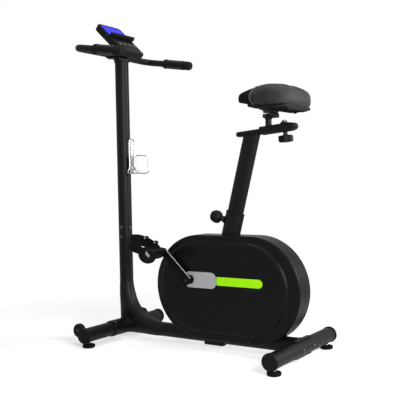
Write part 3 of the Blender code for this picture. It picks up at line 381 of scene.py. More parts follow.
finishLooks = {
    # tones: two greys or colours, patches per metre; rough: low, high, patches per metre
    # grain: (pattern, per metre, height in millimetres); gloss: specular level
    "powderCoat": {
        "tones": (0.0022, 0.0034, 34), "rough": (0.38, 0.48, 60), "gloss": 0.105,
        "grain": [("noise", 900, 0.06), ("noise", 210, 0.08)],
    },
    # painted highlight: a pale strip standing in for the shine along the crank arm's edge
    "paintedHighlightEdge": {
        "tones": (0.3, 0.42, 240), "rough": (0.3, 0.42, 200), "gloss": 0.3,
        "grain": [("noise", 1600, 0.03)],
    },
    "crankPaint": {
        "tones": (0.0018, 0.0028, 40), "rough": (0.34, 0.46, 60), "gloss": 0.045,
        "grain": [("noise", 900, 0.05)],
    },
    "caseShell": {
        "tones": (0.002, 0.003, 22), "rough": (0.3, 0.38, 45), "gloss": 0.085,
        "grain": [("cells", 1500, 0.04), ("noise", 260, 0.03)],
    },
    "mouldedPlastic": {
        "tones": (0.0022, 0.0036, 40), "rough": (0.42, 0.55, 70), "gloss": 0.085,
        "grain": [("cells", 1800, 0.06), ("noise", 300, 0.06)],
    },
    "coarsePlastic": {
        "tones": (0.0045, 0.01, 260), "rough": (0.5, 0.68, 180), "gloss": 0.09,
        "grain": [("cells", 620, 0.3), ("noise", 1500, 0.06)],
    },
    "softRubber": {
        "tones": (0.0026, 0.0044, 55), "rough": (0.58, 0.74, 90), "gloss": 0.05,
        "grain": [("noise", 1100, 0.09), ("noise", 260, 0.1)],
    },
    "foamGrip": {
        "tones": (0.003, 0.0058, 400), "rough": (0.62, 0.82, 300), "gloss": 0.09,
        "grain": [("cells", 950, 0.22), ("noise", 2200, 0.08)],
    },
    "leatherette": {
        "tones": (0.024, 0.032, 30), "rough": (0.42, 0.56, 120), "gloss": 0.055,
        "grain": [("leather", 520, 0.22), ("noise", 1500, 0.06), ("noise", 45, 0.45)],
    },
    "pebbledCover": {
        "tones": (0.0022, 0.004, 320), "rough": (0.46, 0.64, 260), "gloss": 0.04,
        "grain": [("cells", 430, 0.45), ("noise", 1500, 0.06)],
    },
    "pipingCord": {
        "tones": (0.07, 0.095, 90), "rough": (0.36, 0.5, 160), "gloss": 0.25,
        "grain": [("leather", 900, 0.1)],
    },
    "seamThread": {
        "tones": (0.02, 0.033, 700), "rough": (0.55, 0.75, 500), "gloss": 0.14,
        "grain": [("noise", 2600, 0.1)],
    },
    "silverPanel": {
        "tones": (0.29, 0.315, 28), "rough": (0.34, 0.44, 90), "gloss": 0.25,
        "grain": [("noise", 2400, 0.02)],
    },
    "greenStripe": {
        "tones": ((0.255, 0.64, 0.001), (0.285, 0.69, 0.0015), 28), "rough": (0.3, 0.4, 90),
        "grain": [("noise", 2400, 0.02)], "gloss": 0.16,
    },
    "chromeWire": {
        "tones": (0.27, 0.38, 120), "rough": (0.06, 0.16, 160), "metal": 1,
        "grain": [("noise", 700, 0.02)],
    },
    "zincBolt": {
        "tones": (0.34, 0.5, 500), "rough": (0.24, 0.4, 500), "metal": 1,
        "grain": [("noise", 2000, 0.04)],
    },
    "blackBolt": {
        "tones": (0.02, 0.045, 400), "rough": (0.28, 0.42, 400), "metal": 0.7,
        "grain": [("noise", 1800, 0.04)],
    },
    "turnedSteel": {
        "tones": (0.36, 0.52, 90), "rough": (0.22, 0.38, 240), "metal": 1,
        "grain": [("noise", 1500, 0.02)],
    },
    "castIron": {
        "tones": (0.06, 0.11, 160), "rough": (0.4, 0.62, 160), "metal": 0.9,
        "grain": [("noise", 650, 0.15)],
    },
    "pulsePlate": {
        "tones": (0.012, 0.02, 150), "rough": (0.34, 0.48, 200), "gloss": 0.1,
        "grain": [("cells", 700, 0.12), ("noise", 1500, 0.04)],
    },
    "wheelTread": {
        "tones": (0.006, 0.0108, 120), "rough": (0.5, 0.7, 140), "gloss": 0.1,
        "grain": [("noise", 900, 0.12)],
    },
    "glossBezel": {
        "tones": ((0.006, 0.006, 0.007), (0.0085, 0.0085, 0.0095), 25), "rough": (0.1, 0.16, 60),
        "grain": [("noise", 120, 0.01)], "gloss": 0.16, "coat": 0.3,
    },
    "displayGlass": {
        "tones": ((0.006, 0.005, 0.45), (0.012, 0.01, 0.6), 60), "rough": (0.16, 0.24, 60),
        "grain": [("noise", 300, 0.01)], "gloss": 0.03, "glow": ((0.01, 0.008, 0.8), 0.62),
    },
    "displayDigit": {
        "tones": ((0.022, 0.024, 0.55), (0.035, 0.038, 0.68), 200), "rough": (0.25, 0.35, 200),
        "grain": [("noise", 900, 0.01)], "glow": ((0.03, 0.035, 0.8), 0.5),
    },
    "buttonGrey": {
        "tones": (0.0305, 0.0485, 140), "rough": (0.4, 0.55, 260), "gloss": 0.2,
        "grain": [("noise", 1500, 0.05)],
    },
    "belt": {
        "tones": (0.01, 0.02, 260), "rough": (0.6, 0.8, 200), "gloss": 0.1,
        "grain": [("noise", 1200, 0.1)],
    },
}
coolGrey = 1.03  # how much bluer than red the greys are


def toned(tone):
    return (*tone, 1) if isinstance(tone, tuple) else (tone, tone, tone * coolGrey, 1)


def makeFinish(name, look):
    material = bpy.data.materials.new(name)
    material.use_nodes = True
    tree = material.node_tree
    shader = tree.nodes["Principled BSDF"]
    spot = addNode(tree, "TexCoord").outputs["Object"]

    def pattern(kind, perMetre, detail=4.0):
        # a 0 to 1 pattern in the piece's own space
        place = addNode(tree, "Mapping", {"Vector": spot, "Scale": [perMetre] * 3}).outputs["Vector"]
        if kind == "noise":
            return addNode(tree, "TexNoise", {"Vector": place, "Scale": 1, "Detail": detail}).outputs["Fac"]
        feature = "DISTANCE_TO_EDGE" if kind == "leather" else "SMOOTH_F1"
        cells = addNode(
            tree, "TexVoronoi", {"Vector": place, "Scale": 1, "Randomness": 0.9}, feature=feature
        ).outputs["Distance"]
        if kind == "cells":
            return cells
        return addNode(
            tree, "MapRange", {"Value": cells, "From Max": 0.22}, interpolation_type="SMOOTHSTEP"
        ).outputs["Result"]

    def remap(value, low, high, start=0.3, end=0.7):
        ends = {"From Min": start, "From Max": end, "To Min": low, "To Max": high}
        return addNode(tree, "MapRange", {"Value": value, **ends}).outputs["Result"]

    dark, light, patch = look["tones"]
    mixed = {"A": toned(dark), "B": toned(light), "Factor": remap(pattern("noise", patch), 0, 1)}
    colour = addNode(tree, "Mix", mixed, data_type="RGBA")
    low, high, patch = look["rough"]
    surface = None
    for kind, perMetre, height in look["grain"]:
        inputs = {"Strength": 0.6, "Distance": height / 1000, "Height": pattern(kind, perMetre)}
        if surface:
            inputs["Normal"] = surface
        surface = addNode(tree, "Bump", inputs).outputs["Normal"]
    # the gloss drops off towards a piece's outline
    facing = addNode(tree, "LayerWeight", {"Blend": 0.5}).outputs["Facing"]
    gloss = look.get("gloss", 0.5)
    joined = {
        "Base Color": colour.outputs["Result"],
        "Roughness": remap(pattern("noise", patch, 6.0), low, high),
        "Normal": surface,
        "Specular IOR Level": remap(facing, gloss, gloss * 0.15, 0.35, 1),
    }
    for key, socket in joined.items():
        tree.links.new(socket, shader.inputs[key])
    shader.inputs["Metallic"].default_value = look.get("metal", 0)
    shader.inputs["Coat Weight"].default_value = look.get("coat", 0)
    if "glow" in look:
        glow, strength = look["glow"]
        shader.inputs["Emission Color"].default_value = (*glow, 1)
        shader.inputs["Emission Strength"].default_value = strength
    material.diffuse_color = toned(light)
    return material


finishes = {name: makeFinish(name, look) for name, look in finishLooks.items()}
print("finishes", len(finishes))


studio = {
    "eye": Vector((-1.628, 2.4158, 0.6892)), "lens": 63.32, "yaw": 33.707, "pitch": -1.4997, "roll": -1.1821,
    "floorSize": 30, "floorTone": 0.62, "floorLift": 0.5, "floorClear": (0.9, 1.7), "ambient": 0.14,
    "lamps": (
        # name, where, aimed at, width, height, power
        ("keyPanel", (-2.5, -1.6, 1.4), (0, 0, 0.65), 0.8, 1.3, 85),
        ("sidePanel", (-2.6, 1.55, 1.3), (0, 0, 0.6), 1.3, 1.3, 120),
        ("fillPanel", (-0.9, 3.3, 1.8), (0, 0, 0.6), 1.5, 1.7, 14),
        ("topPanel", (-0.2, 0.3, 3.1), (0, 0, 0), 1.8, 1.8, 42),
    ),
}


def litOnly(tree, seen, plain):
    # camera, mirror and glass rays meet one shader, every other ray the other
    rays = addNode(tree, "LightPath").outputs
    either = rays["Is Camera Ray"]
    for other in ("Is Glossy Ray", "Is Transmission Ray"):
        either = addNode(tree, "Math", {0: either, 1: rays[other]}, operation="MAXIMUM").outputs[0]
    return addNode(tree, "MixShader", {0: either, 1: plain, 2: seen}).outputs[0]


def makeFloor():
    s = studio
    bpy.ops.mesh.primitive_plane_add(size=s["floorSize"])
    floor = bpy.context.object
    floor.name = "studioFloor"
    material = bpy.data.materials.new("paleFloor")
    material.use_nodes = True
    tree = material.node_tree
    tree.nodes.clear()
    matt = addNode(tree, "BsdfDiffuse", {"Color": (*[s["floorTone"]] * 3, 1)}).outputs[0]
    lift = addNode(tree, "Emission", {"Strength": s["floorLift"]}).outputs[0]
    near = addNode(tree, "AddShader", {0: matt, 1: lift}).outputs[0]
    # the floor turns plain white away from the bike
    spot = addNode(tree, "TexCoord").outputs["Object"]
    reach = addNode(tree, "VectorMath", {0: spot}, operation="LENGTH").outputs["Value"]
    start, end = s["floorClear"]
    fade = {"Value": reach, "From Min": start, "From Max": end}
    fade = addNode(tree, "MapRange", fade, interpolation_type="SMOOTHSTEP").outputs["Result"]
    white = addNode(tree, "Emission").outputs[0]
    blend = addNode(tree, "MixShader", {0: fade, 1: near, 2: white}).outputs[0]
    addNode(tree, "OutputMaterial", {"Surface": litOnly(tree, blend, matt)})
    floor.data.materials.append(material)


def makeAir():
    world = bpy.data.worlds.new("studioAir")
    scene.world = world
    world.use_nodes = True
    tree = world.node_tree
    tree.nodes.clear()
    seen, plain = (
        addNode(tree, "Background", {"Strength": level, "Color": (1, 1, 1, 1)}).outputs[0]
        for level in (1.0, studio["ambient"])
    )
    addNode(tree, "OutputWorld", {"Surface": litOnly(tree, seen, plain)})


def makeLamps():
    for name, where, aim, width, height, power in studio["lamps"]:
        lamp = bpy.data.lights.new(name, "AREA")
        lamp.shape, lamp.size, lamp.size_y, lamp.energy = "RECTANGLE", width, height, power
        holder = bpy.data.objects.new(name, lamp)
        holder.location = where
        holder.rotation_mode = "QUATERNION"
        holder.rotation_quaternion = (Vector(aim) - Vector(where)).to_track_quat("-Z", "Y")
        scene.collection.objects.link(holder)


def makeCamera():
    yaw, pitch, roll = (radians(studio[k]) for k in ("yaw", "pitch", "roll"))
    level = Vector((sin(yaw), -cos(yaw), 0))
    right = level.cross(zAxis)
    ahead = level * cos(pitch) + zAxis * sin(pitch)
    up = right.cross(ahead)
    across = right * cos(roll) + up * sin(roll)
    upright = up * cos(roll) - right * sin(roll)
    lens = bpy.data.cameras.new("studioCamera")
    lens.lens, lens.sensor_width = studio["lens"], 36
    lens.clip_start, lens.clip_end = 0.05, 60
    camera = bpy.data.objects.new("studioCamera", lens)
    turn = Matrix((across, upright, -ahead)).transposed().to_4x4()
    camera.matrix_world = Matrix.Translation(studio["eye"]) @ turn
    scene.collection.objects.link(camera)
    scene.camera = camera
    scene.view_settings.view_transform = "Standard"


makeFloor()
makeAir()
makeLamps()
makeCamera()
print("studio ready")




# the lower frame: post foot, bend and beam in one skin, its sleeves and its seat tube

lowFrame = {
    "postX": 0.385, "tube": 0.03, "splitZ": 0.414, "beamZ": 0.058, "bend": 0.196,
    "frontX": 0.4097, "rearX": -0.4673, "crossZ": 0.053, "web": 0.11, "webHalf": 0.016,
    "sleeve": 0.0345, "sleeveBore": 0.0303, "frontHalf": 0.089, "rearHalf": 0.065, "rearWrap": 106,
    "blend": 0.034, "cornerBlend": 0.012, "voxel": 0.0046, "beadRadius": 0.0021, "edge": 0.0007,
    "seatTube": (0.0405, 0.024), "seatTubeFoot": -0.5,
    "seatBore": (0.0383, 0.0218), "seatBoreFoot": -0.485, "pinDrop": 0.036,
}
seatFore, seatUp = tiltedAxes(radians(15))
seatMouth = Vector((-0.1848, 0, 0.559))
crankHub = Vector((-0.0013, 0, 0.291))
flywheelHub = Vector((-0.2963, 0, 0.262))
brakeHinge = Vector((-0.2263, 0, 0.383))


def seatAt(up):
    return seatMouth + seatUp * up


def arcPoints(centreX, centreZ, radius, start, end, steps):
    turns = [radians(start + (end - start) * i / steps) for i in range(steps + 1)]
    return [Vector((centreX + radius * cos(t), 0, centreZ + radius * sin(t))) for t in turns]


def plate(outline, low, high, ease=0.0):
    # outline: points in the bike's middle plane, as (x, z) or as vectors
    bm = prism([Vector((p[0], 0, p[-1])) for p in outline], yAxis, low, high)
    return eased(bm, ease, 2) if ease else bm


def boxed(low, high, ease=0.0015):
    return eased(brick(low, high), ease, 3)


def smoothMin(a, b, reach):
    share = np.maximum(reach - np.abs(a - b), 0) / np.maximum(reach, 1e-6)
    return np.minimum(a, b) - share * share * reach / 4


def frameField(points):
    # signed distance to the bent frame tube, its inner bend melting into the corner
    f = lowFrame
    x, y, z = points.T
    post = np.sqrt((x - f["postX"]) ** 2 + y**2 + np.minimum(z - f["beamZ"], 0) ** 2) - f["tube"]
    beam = np.sqrt((z - f["beamZ"]) ** 2 + y**2 + np.maximum(x - f["postX"], 0) ** 2) - f["tube"]
    dx, dz = x - (f["postX"] - f["bend"]), (f["beamZ"] + f["bend"]) - z
    around = np.sqrt((np.hypot(dx, dz) - f["bend"]) ** 2 + y**2) - f["tube"]
    around = np.where((dx > 0) & (dz > 0), around, 1.0)
    swing = np.clip(np.sin(2 * np.arctan2(np.maximum(dz, 0), np.maximum(dx, 1e-9))), 0, 1)
    return smoothMin(smoothMin(post, beam, f["cornerBlend"]), around, f["blend"] * swing + 1e-6)


def fieldSlope(points):
    slope, step = np.zeros_like(points), 2e-4
    for axis in range(3):
        shift = np.zeros(3)
        shift[axis] = step
        slope[:, axis] = (frameField(points + shift) - frameField(points - shift)) / (2 * step)
    return slope


def makeBentTube():
    f = lowFrame
    corner = Vector((f["postX"], 0, f["beamZ"]))
    bend = filleted([corner + zAxis * 0.26, corner, corner - xAxis * 0.26], f["bend"], 16)
    web = [corner, corner - xAxis * f["web"], corner + zAxis * f["web"]]
    rough = bmesh.new()
    for shape in (
        rod(corner, zAxis, f["tube"], -0.02, 0.45 - f["beamZ"], 32),
        rod(corner, -xAxis, f["tube"], -0.02, f["postX"] - f["rearX"] - 0.002, 32),
        swept(bend, roundSection(f["tube"])),
        prism(web, yAxis, -f["webHalf"], f["webHalf"]),
    ):
        scratch = bpy.data.meshes.new("scratch")
        shape.to_mesh(scratch)
        rough.from_mesh(scratch)
    skin = remeshed(rough, f["voxel"])
    points = np.array([v.co for v in skin.verts], float)
    for _ in range(8):
        slope = fieldSlope(points)
        move = frameField(points)[:, None] * slope / np.maximum((slope**2).sum(1), 1e-6)[:, None]
        points -= np.clip(move, -0.004, 0.004)
    for vert, point in zip(skin.verts, points):
        vert.co = point
    for end, outward in ((zAxis * f["splitZ"], zAxis), (xAxis * (f["rearX"] + 0.012), -xAxis)):
        geometry = [*skin.verts, *skin.edges, *skin.faces]
        cut = bmesh.ops.bisect_plane(skin, geom=geometry, plane_co=end, plane_no=outward, clear_outer=True)
        rim = [e for e in cut["geom_cut"] if isinstance(e, bmesh.types.BMEdge)]
        bmesh.ops.edgeloop_fill(skin, edges=rim)
    bmesh.ops.recalc_face_normals(skin, faces=skin.faces)
    tube = piece("frameTube", "base", [(skin, "powderCoat")], "frame_paint", weighted=False, sharp=40)
    # the shading follows the field, apart from the two flat ends
    normals = fieldSlope(np.array([v.co for v in tube.data.vertices], float))
    normals /= np.linalg.norm(normals, axis=1)[:, None]
    corners = []
    for polygon in tube.data.polygons:
        isEnd = len(polygon.vertices) > 8
        corners += [tuple(polygon.normal if isEnd else normals[index]) for index in polygon.vertices]
    tube.data.normals_split_custom_set(corners)


def frontSeam():
    # where the bent tube comes out of the front sleeve
    f = lowFrame
    near = []
    for k in range(121):
        t = radians(60 + 250 * k / 120)
        x = f["frontX"] + f["sleeve"] * cos(t)
        z = f["crossZ"] + f["sleeve"] * sin(t)
        low, high = 0.0, f["sleeve"]
        if frameField(np.array([[x, 0.0, z]]))[0] > 0:
            continue
        for _ in range(24):
            middle = (low + high) / 2
            inside = frameField(np.array([[x, middle, z]]))[0] < 0
            low, high = (middle, high) if inside else (low, middle)
        near.append(Vector((x, low, z)))
    return near + [acrossBike @ point for point in near[::-1]]


def rearSeam():
    # where the beam meets the rear cradle
    f = lowFrame
    path = []
    for k in range(72):
        t = fullTurn * k / 72
        z = f["beamZ"] + f["tube"] * sin(t)
        x = f["rearX"] + sqrt(max(f["sleeve"] ** 2 - (z - f["crossZ"]) ** 2, 0))
        path.append(Vector((x, f["tube"] * cos(t), z)))
    return path


def ovalRing(centre, long, wide, steps=56):
    return polar(centre, seatFore, yAxis, long, wide, steps)


def makeFrame():
    f = lowFrame
    front, rear = Vector((f["frontX"], 0, f["crossZ"])), Vector((f["rearX"], 0, f["crossZ"]))
    outer, inner, half, ease = f["sleeve"], f["sleeveBore"], f["frontHalf"], f["edge"]
    sleeve = turned(front, yAxis, [
        (outer - ease, -half), (outer, -half + ease), (outer, half - ease), (outer - ease, half),
        (inner + ease, half), (inner, half - ease), (inner, -half + ease), (inner + ease, -half),
    ], 72, looped=True)
    half, wrap, shell = f["rearHalf"], f["rearWrap"], []
    profile = [(inner + ease, -half), (outer - ease, -half), (outer, -half + ease)]
    profile += [(radius, -y) for radius, y in reversed(profile)]
    for radius, y in profile:
        shell.append([p + yAxis * y for p in arcPoints(rear.x, rear.z, radius, -wrap, wrap, 48)])
    cradle = loftSheet(shell)
    long, wide = f["seatTube"]
    tube = loft([
        ovalRing(seatAt(f["seatTubeFoot"]), long, wide), ovalRing(seatAt(-0.0012), long, wide),
        ovalRing(seatAt(0), long - 0.001, wide - 0.001), ovalRing(seatAt(0), *f["seatBore"]),
        ovalRing(seatAt(f["seatBoreFoot"]), *f["seatBore"]),
    ])
    boss = seatAt(-f["pinDrop"])
    nut = hexNut(boss + seatFore * 0.0385, seatFore, 0.025, 0.01)
    collar = mm([(15, 36), (15, 41.5), (14, 42.5), (9, 42.5)])
    collar = turned(boss, seatFore, collar, 40)
    bead = f["beadRadius"]
    welds = [
        weldBead(frontSeam(), bead, looped=True),
        weldBead(rearSeam(), bead, looped=True),
        weldBead(polar(boss + seatFore * 0.0395, yAxis, seatUp, 0.0155, 0.0155, 40), 0.0013, 0.0018, True),
    ]
    foot = boxed((-0.122, -0.014, 0.019), (-0.032, 0.014, 0.034), 0.003)
    spigot = turned(xAxis * f["postX"], zAxis, mm([(26.8, 385), (26.8, 518), (25.8, 520)]), 48)
    # two bolt heads on the front sleeve: angle round it and distance to the side
    lumps = []
    for angle, y in ((128, 0.0745), (98, 0.056)):
        out, _ = tiltedAxes(radians(angle))
        lumps.append(domeBolt(front + yAxis * y + out * (outer - 0.0004), out, 0.005, 0.0032))
    inside = []
    for member in insideFrame():
        # the seat post slides through these
        inside.append(carved(member, loft([ovalRing(seatAt(up), 0.0385, 0.022) for up in (-0.45, 0.02)])))
    piece("frameFittings", "base", [
        ([sleeve, cradle, tube, collar, foot, *welds, *inside], "powderCoat"),
        ([spigot, nut, *lumps], "blackBolt"),
    ], "frame_paint", ["frame"], sharp=38)


def loftSheet(rings):
    # a closed ring of open rows: the rows' ends are joined by flat caps
    bm = bmesh.new()
    rows = [[bm.verts.new(p) for p in ring] for ring in rings]
    for low, high in zip(rows, rows[1:] + rows[:1]):
        for k in range(len(low) - 1):
            bm.faces.new((low[k], low[k + 1], high[k + 1], high[k]))
    bm.faces.new([row[0] for row in rows])
    bm.faces.new([row[-1] for row in rows][::-1])
    bmesh.ops.recalc_face_normals(bm, faces=bm.faces)
    return bm


def insideFrame():
    # what the housing hides: crank shell, its legs, the flywheel fork and the brake's bracket
    x, z = crankHub.x, crankHub.z
    shell = turned(crankHub, yAxis, mm([
        (20.5, -34), (23.5, -34), (24, -33.5), (24, 33.5), (23.5, 34), (20.5, 34),
    ]), 48, looped=True)
    shapes = [shell, boxed((x - 0.095, -0.01, z - 0.014), (x - 0.0225, 0.01, z + 0.014))]
    shapes.append(boxed((x - 0.013, -0.01, lowFrame["beamZ"] + 0.02), (x + 0.013, 0.01, z - 0.0225)))
    x, z = flywheelHub.x, flywheelHub.z
    shapes.append(boxed((x - 0.018, -0.016, 0.077), (x + 0.018, 0.016, 0.104)))
    shapes.append(boxed((x - 0.024, -0.0513, 0.1), (x + 0.024, 0.0235, 0.11)))
    side = [(x - 0.023, 0.104), (x + 0.023, 0.104), (x + 0.013, z + 0.014), (x - 0.013, z + 0.014)]
    shapes += [plate(side, 0.0195, 0.0233, 0.0008), plate(side, -0.0511, -0.048, 0.0008)]
    x, z = brakeHinge.x, brakeHinge.z
    corners = ((-10, -10), (80, -10), (80, 62), (30, 62), (10, 10), (-10, 10))
    shapes.append(plate([(x + a / 1000, z + b / 1000) for a, b in corners], 0.0125, 0.0165, 0.0008))
    return shapes


makeBentTube()
makeFrame()
print("frame")


# the two cross tubes with their caps, feet, wheels and bolts

stabiliser = {
    "radius": 0.03, "bore": 0.0275, "half": 0.25, "capOut": 0.264, "capRadius": 0.0325,
    "footY": 0.228, "wheelX": 0.4721, "wheelZ": 0.063, "wheel": 0.03, "wheelY": (0.2055, 0.2265),
    "treads": 30, "treadDepth": 0.0011, "flutes": 26, "fluteDepth": 0.0009, "boltY": 0.045,
}


def wheelEar(side):
    s = stabiliser
    root = lowFrame["frontX"] + 0.0262
    tip = arcPoints(s["wheelX"], s["wheelZ"], 0.0105, 78, -78, 12)
    outline = [(root, s["crossZ"] + 0.014), *tip, (root, s["crossZ"] - 0.012)]
    inside, outside = s["wheelY"][0] - 0.006, s["wheelY"][0] - 0.001
    axle = Vector((s["wheelX"], 0, s["wheelZ"]))
    end = s["wheelY"][1] + 0.0008
    shapes = [
        plate(outline, inside, outside, 0.001),
        rod(axle, yAxis, 0.005, inside, end, 24),
    ]
    seam = [Vector((root + 0.0022, y, s["crossZ"] + z)) for y, z in (
        (outside, -0.011), (outside, 0.013), (inside, 0.013), (inside, -0.011)
    )]
    shapes.append(weldBead(filleted(seam, 0.002, 4, looped=True), 0.0014, 0.002, looped=True))
    head = domeBolt(axle + yAxis * end, yAxis, 0.0085, 0.0032)
    if side < 0:
        shapes, head = [copied(shape, acrossBike) for shape in shapes], copied(head, acrossBike)
    return shapes, head


def makeStabilisers():
    s = stabiliser
    s["crossZ"] = lowFrame["crossZ"]
    for end, x in (("front", lowFrame["frontX"]), ("rear", lowFrame["rearX"])):
        r, b, h = s["radius"], s["bore"], s["half"]
        tube = turned(Vector((x, 0, s["crossZ"])), yAxis, [(r, -h), (r, h), (b, h), (b, -h)], 72, looped=True)
        parts = [(tube, "powderCoat")]
        if end == "front":
            for side in (1, -1):
                shapes, head = wheelEar(side)
                parts += [(shapes, "powderCoat"), (head, "blackBolt")]
        piece(f"{end}Tube", "base", parts, "frame_paint", [f"{end}_stabiliser"], sharp=38)
        for label, side in bothSides:
            makeCap(end, label, x, side)
            makeFoot(end, label, x, side)
    for label, side in bothSides:
        makeWheel(label, side)
        makeRearBolt(label, side)


def makeCap(end, label, x, side):
    s = stabiliser
    r, out, lip = s["capRadius"], s["capOut"], s["half"] + 0.0003
    plug = s["bore"] - 0.0003
    profile = [(plug, 0.24), (plug, lip), (r - 0.0006, lip), (r, lip + 0.0006), (r, out - 0.0065)]
    for k in range(1, 7):
        t = pi / 2 * k / 6
        profile.append((r - 0.0042 + 0.0042 * cos(t), out - 0.0048 + 0.0046 * sin(t)))
    ring = r - 0.0062
    profile += [(ring + 0.0008, out - 0.0002), (ring, out - 0.0012), (ring - 0.0012, out - 0.0012)]
    profile += [(ring - 0.002, out - 0.0003), (0.012, out), (0.002, out)]
    cap = turned(Vector((x, 0, s["crossZ"])), yAxis * side, profile, 64)
    piece(f"{end}Cap", "base", [(cap, "mouldedPlastic")], "rubber", [f"{end}_cap"], label, sharp=50)


def makeFoot(end, label, x, side):
    s = stabiliser
    spot = Vector((x, side * s["footY"], 0))
    profile = mm([
        (21.5, 0), (23.6, 0.4), (25, 2.2), (26.2, 4.2), (26.6, 6.2), (26.6, 11.2), (25.8, 13), (23.8, 14),
        (15, 15.2), (11.8, 15.6),
    ])
    pad = turned(spot, zAxis, profile, s["flutes"] * 6, lobes=(s["flutes"], s["fluteDepth"], 2, 6))
    stem = turned(spot, zAxis, mm([(4.8, 10), (4.8, 43.5), (4, 44)]), 24)
    nut = hexNut(spot + zAxis * 0.0156, zAxis, 0.015, 0.0052)
    parts = [(pad, "softRubber"), ([stem, *nut], "zincBolt" if end == "rear" else "blackBolt")]
    piece(f"{end}Foot", f"{end}_{label}_foot", parts, "rubber", [f"{end}_foot"], label, sharp=55)


def makeWheel(label, side):
    s = stabiliser
    inner, outer = s["wheelY"]
    mid, half = (inner + outer) / 2, (outer - inner) / 2
    profile = [
        (0.0052, 0), (0.0105, 0), (0.0115, 0.003), (0.0205, 0.003), (0.0215, 0),
        (0.0262, 0), (0.0285, 0.001), (0.0296, 0.003), (s["wheel"], 0.006),
    ]
    profile = [(r, along - half) for r, along in profile]
    profile += [(r, -along) for r, along in reversed(profile)]
    axle = Vector((s["wheelX"], side * mid, s["wheelZ"]))
    lobes = (s["treads"], s["treadDepth"], 6, 11)
    tyre = turned(axle, yAxis * side, profile, s["treads"] * 6, True, lobes)
    ribs = []
    for k in range(6):
        rib = boxed((0.01, -half + 0.0004, -0.0011), (0.0215, half - 0.0004, 0.0011), 0.0005)
        ribs.append(copied(rib, Matrix.Translation(axle) @ Matrix.Rotation(fullTurn * (k + 0.5) / 6, 4, "Y")))
    parts = [([tyre, *ribs], "wheelTread")]
    piece("wheel", f"{label}_wheel", parts, "rubber", ["transport_wheel"], label, sharp=45)


def makeRearBolt(label, side):
    middle = Vector((lowFrame["rearX"], side * stabiliser["boltY"], lowFrame["crossZ"]))
    head = domeBolt(middle - xAxis * 0.0303, -xAxis, 0.008, 0.0042)
    shank = turned(middle, xAxis, mm([(4, -30.3), (4, 44), (3.2, 44.7)]), 24)
    nutBase = middle + xAxis * (lowFrame["sleeve"] + 0.0003)
    ring = washer(nutBase, xAxis, 0.0085, 0.0042)
    nut = hexNut(nutBase + xAxis * 0.0012, xAxis, 0.013, 0.0062)
    parts = [([head, ring], "blackBolt"), ([shank, *nut], "zincBolt")]
    piece("rearBolt", "base", parts, "steel", ["rear_bolt"], label, sharp=40)


makeStabilisers()
print("cross tubes, feet and wheels")


# the upper post with its bolts, the bar head and the handlebar

upperPost = {
    "x": 0.385, "radius": 0.03, "bore": 0.0271, "low": 0.4143, "top": 1.236,
    "boltZ": (0.452, 0.495), "rearScrewZ": 0.4915,
}
consoleRise, consoleOut = tiltedAxes(radians(43.3))
consoleDown = -consoleRise
consoleTop = Vector((0.4552, 0, 1.394))


def consoleAt(down, side=0.0, out=0.0):
    return consoleTop + consoleDown * down + yAxis * side + consoleOut * out


def makeUpperPost():
    u = upperPost
    axis = Vector((u["x"], 0, 0))
    r, b, low, top = u["radius"], u["bore"], u["low"], u["top"]
    ease = 0.0008
    profile = [(b, low), (r - ease, low), (r, low + ease), (r, top), (b, top)]
    tube = turned(axis, zAxis, profile, 96, looped=True)
    piece("upperPostTube", "base", [(tube, "powderCoat")], "frame_paint", ["upper_post"], sharp=50)
    for label, z in zip(("lower", "upper"), u["boltZ"]):
        heads = []
        for side in (yAxis, -yAxis):
            heads.append(domeBolt(axis + zAxis * z + side * (r + 0.0002), side, 0.0075, 0.004))
        heads.append(rod(axis + zAxis * z, yAxis, 0.0039, -0.029, 0.029, 20))
        piece("postBolt", "base", [(heads, "blackBolt")], "steel", ["post_bolt"], label, sharp=40)
    spot = axis - xAxis * r + zAxis * u["rearScrewZ"]
    screw = domeBolt(spot + xAxis * 0.0006, -xAxis, 0.0072, 0.0052, "cross")
    ring = washer(spot + xAxis * 0.001, -xAxis, 0.0088, 0.003, 0.002)
    piece("postRearScrew", "base", [([screw, ring], "blackBolt")], "steel", sharp=40)


barShape = {
    "radius": 0.0145, "bend": 0.048,
    "front": Vector((0.4392, 0, 1.262)),
    "corner": Vector((0.4405, 0.2415, 1.26)),
    "end": Vector((0.1835, 0.2395, 1.215)),
}


headShape = {
    # height, shift forward, radius fore and aft, radius across
    "collar": mm((
        (1222, 0, 30.2, 30.2), (1222, 0, 32.5, 32.5), (1222.6, 0, 33.1, 33.1),
        (1245.5, 0, 33.1, 33.1), (1254, 2, 33.1, 32.2),
    )),
    # under the console: distance down it, then distance out, radius fore and aft, radius across
    "topDown": 0.098, "top": mm(((-39.3, 40, 29.6), (-29.3, 42, 30))),
    # half the lug round the bar: radius, distance along
    "lug": mm(((14.3, -30), (17.8, -30), (19, -28.8))),
    "neckHalf": 0.02, "neckZ": (1.244, 1.272), "slitCorner": (0.0196, 0.029, 0.006),
    "lugBoltY": 0.017, "lugBoltDrop": 0.0186, "collarBolts": (118, 62), "collarBoltZ": 1.2345,
}


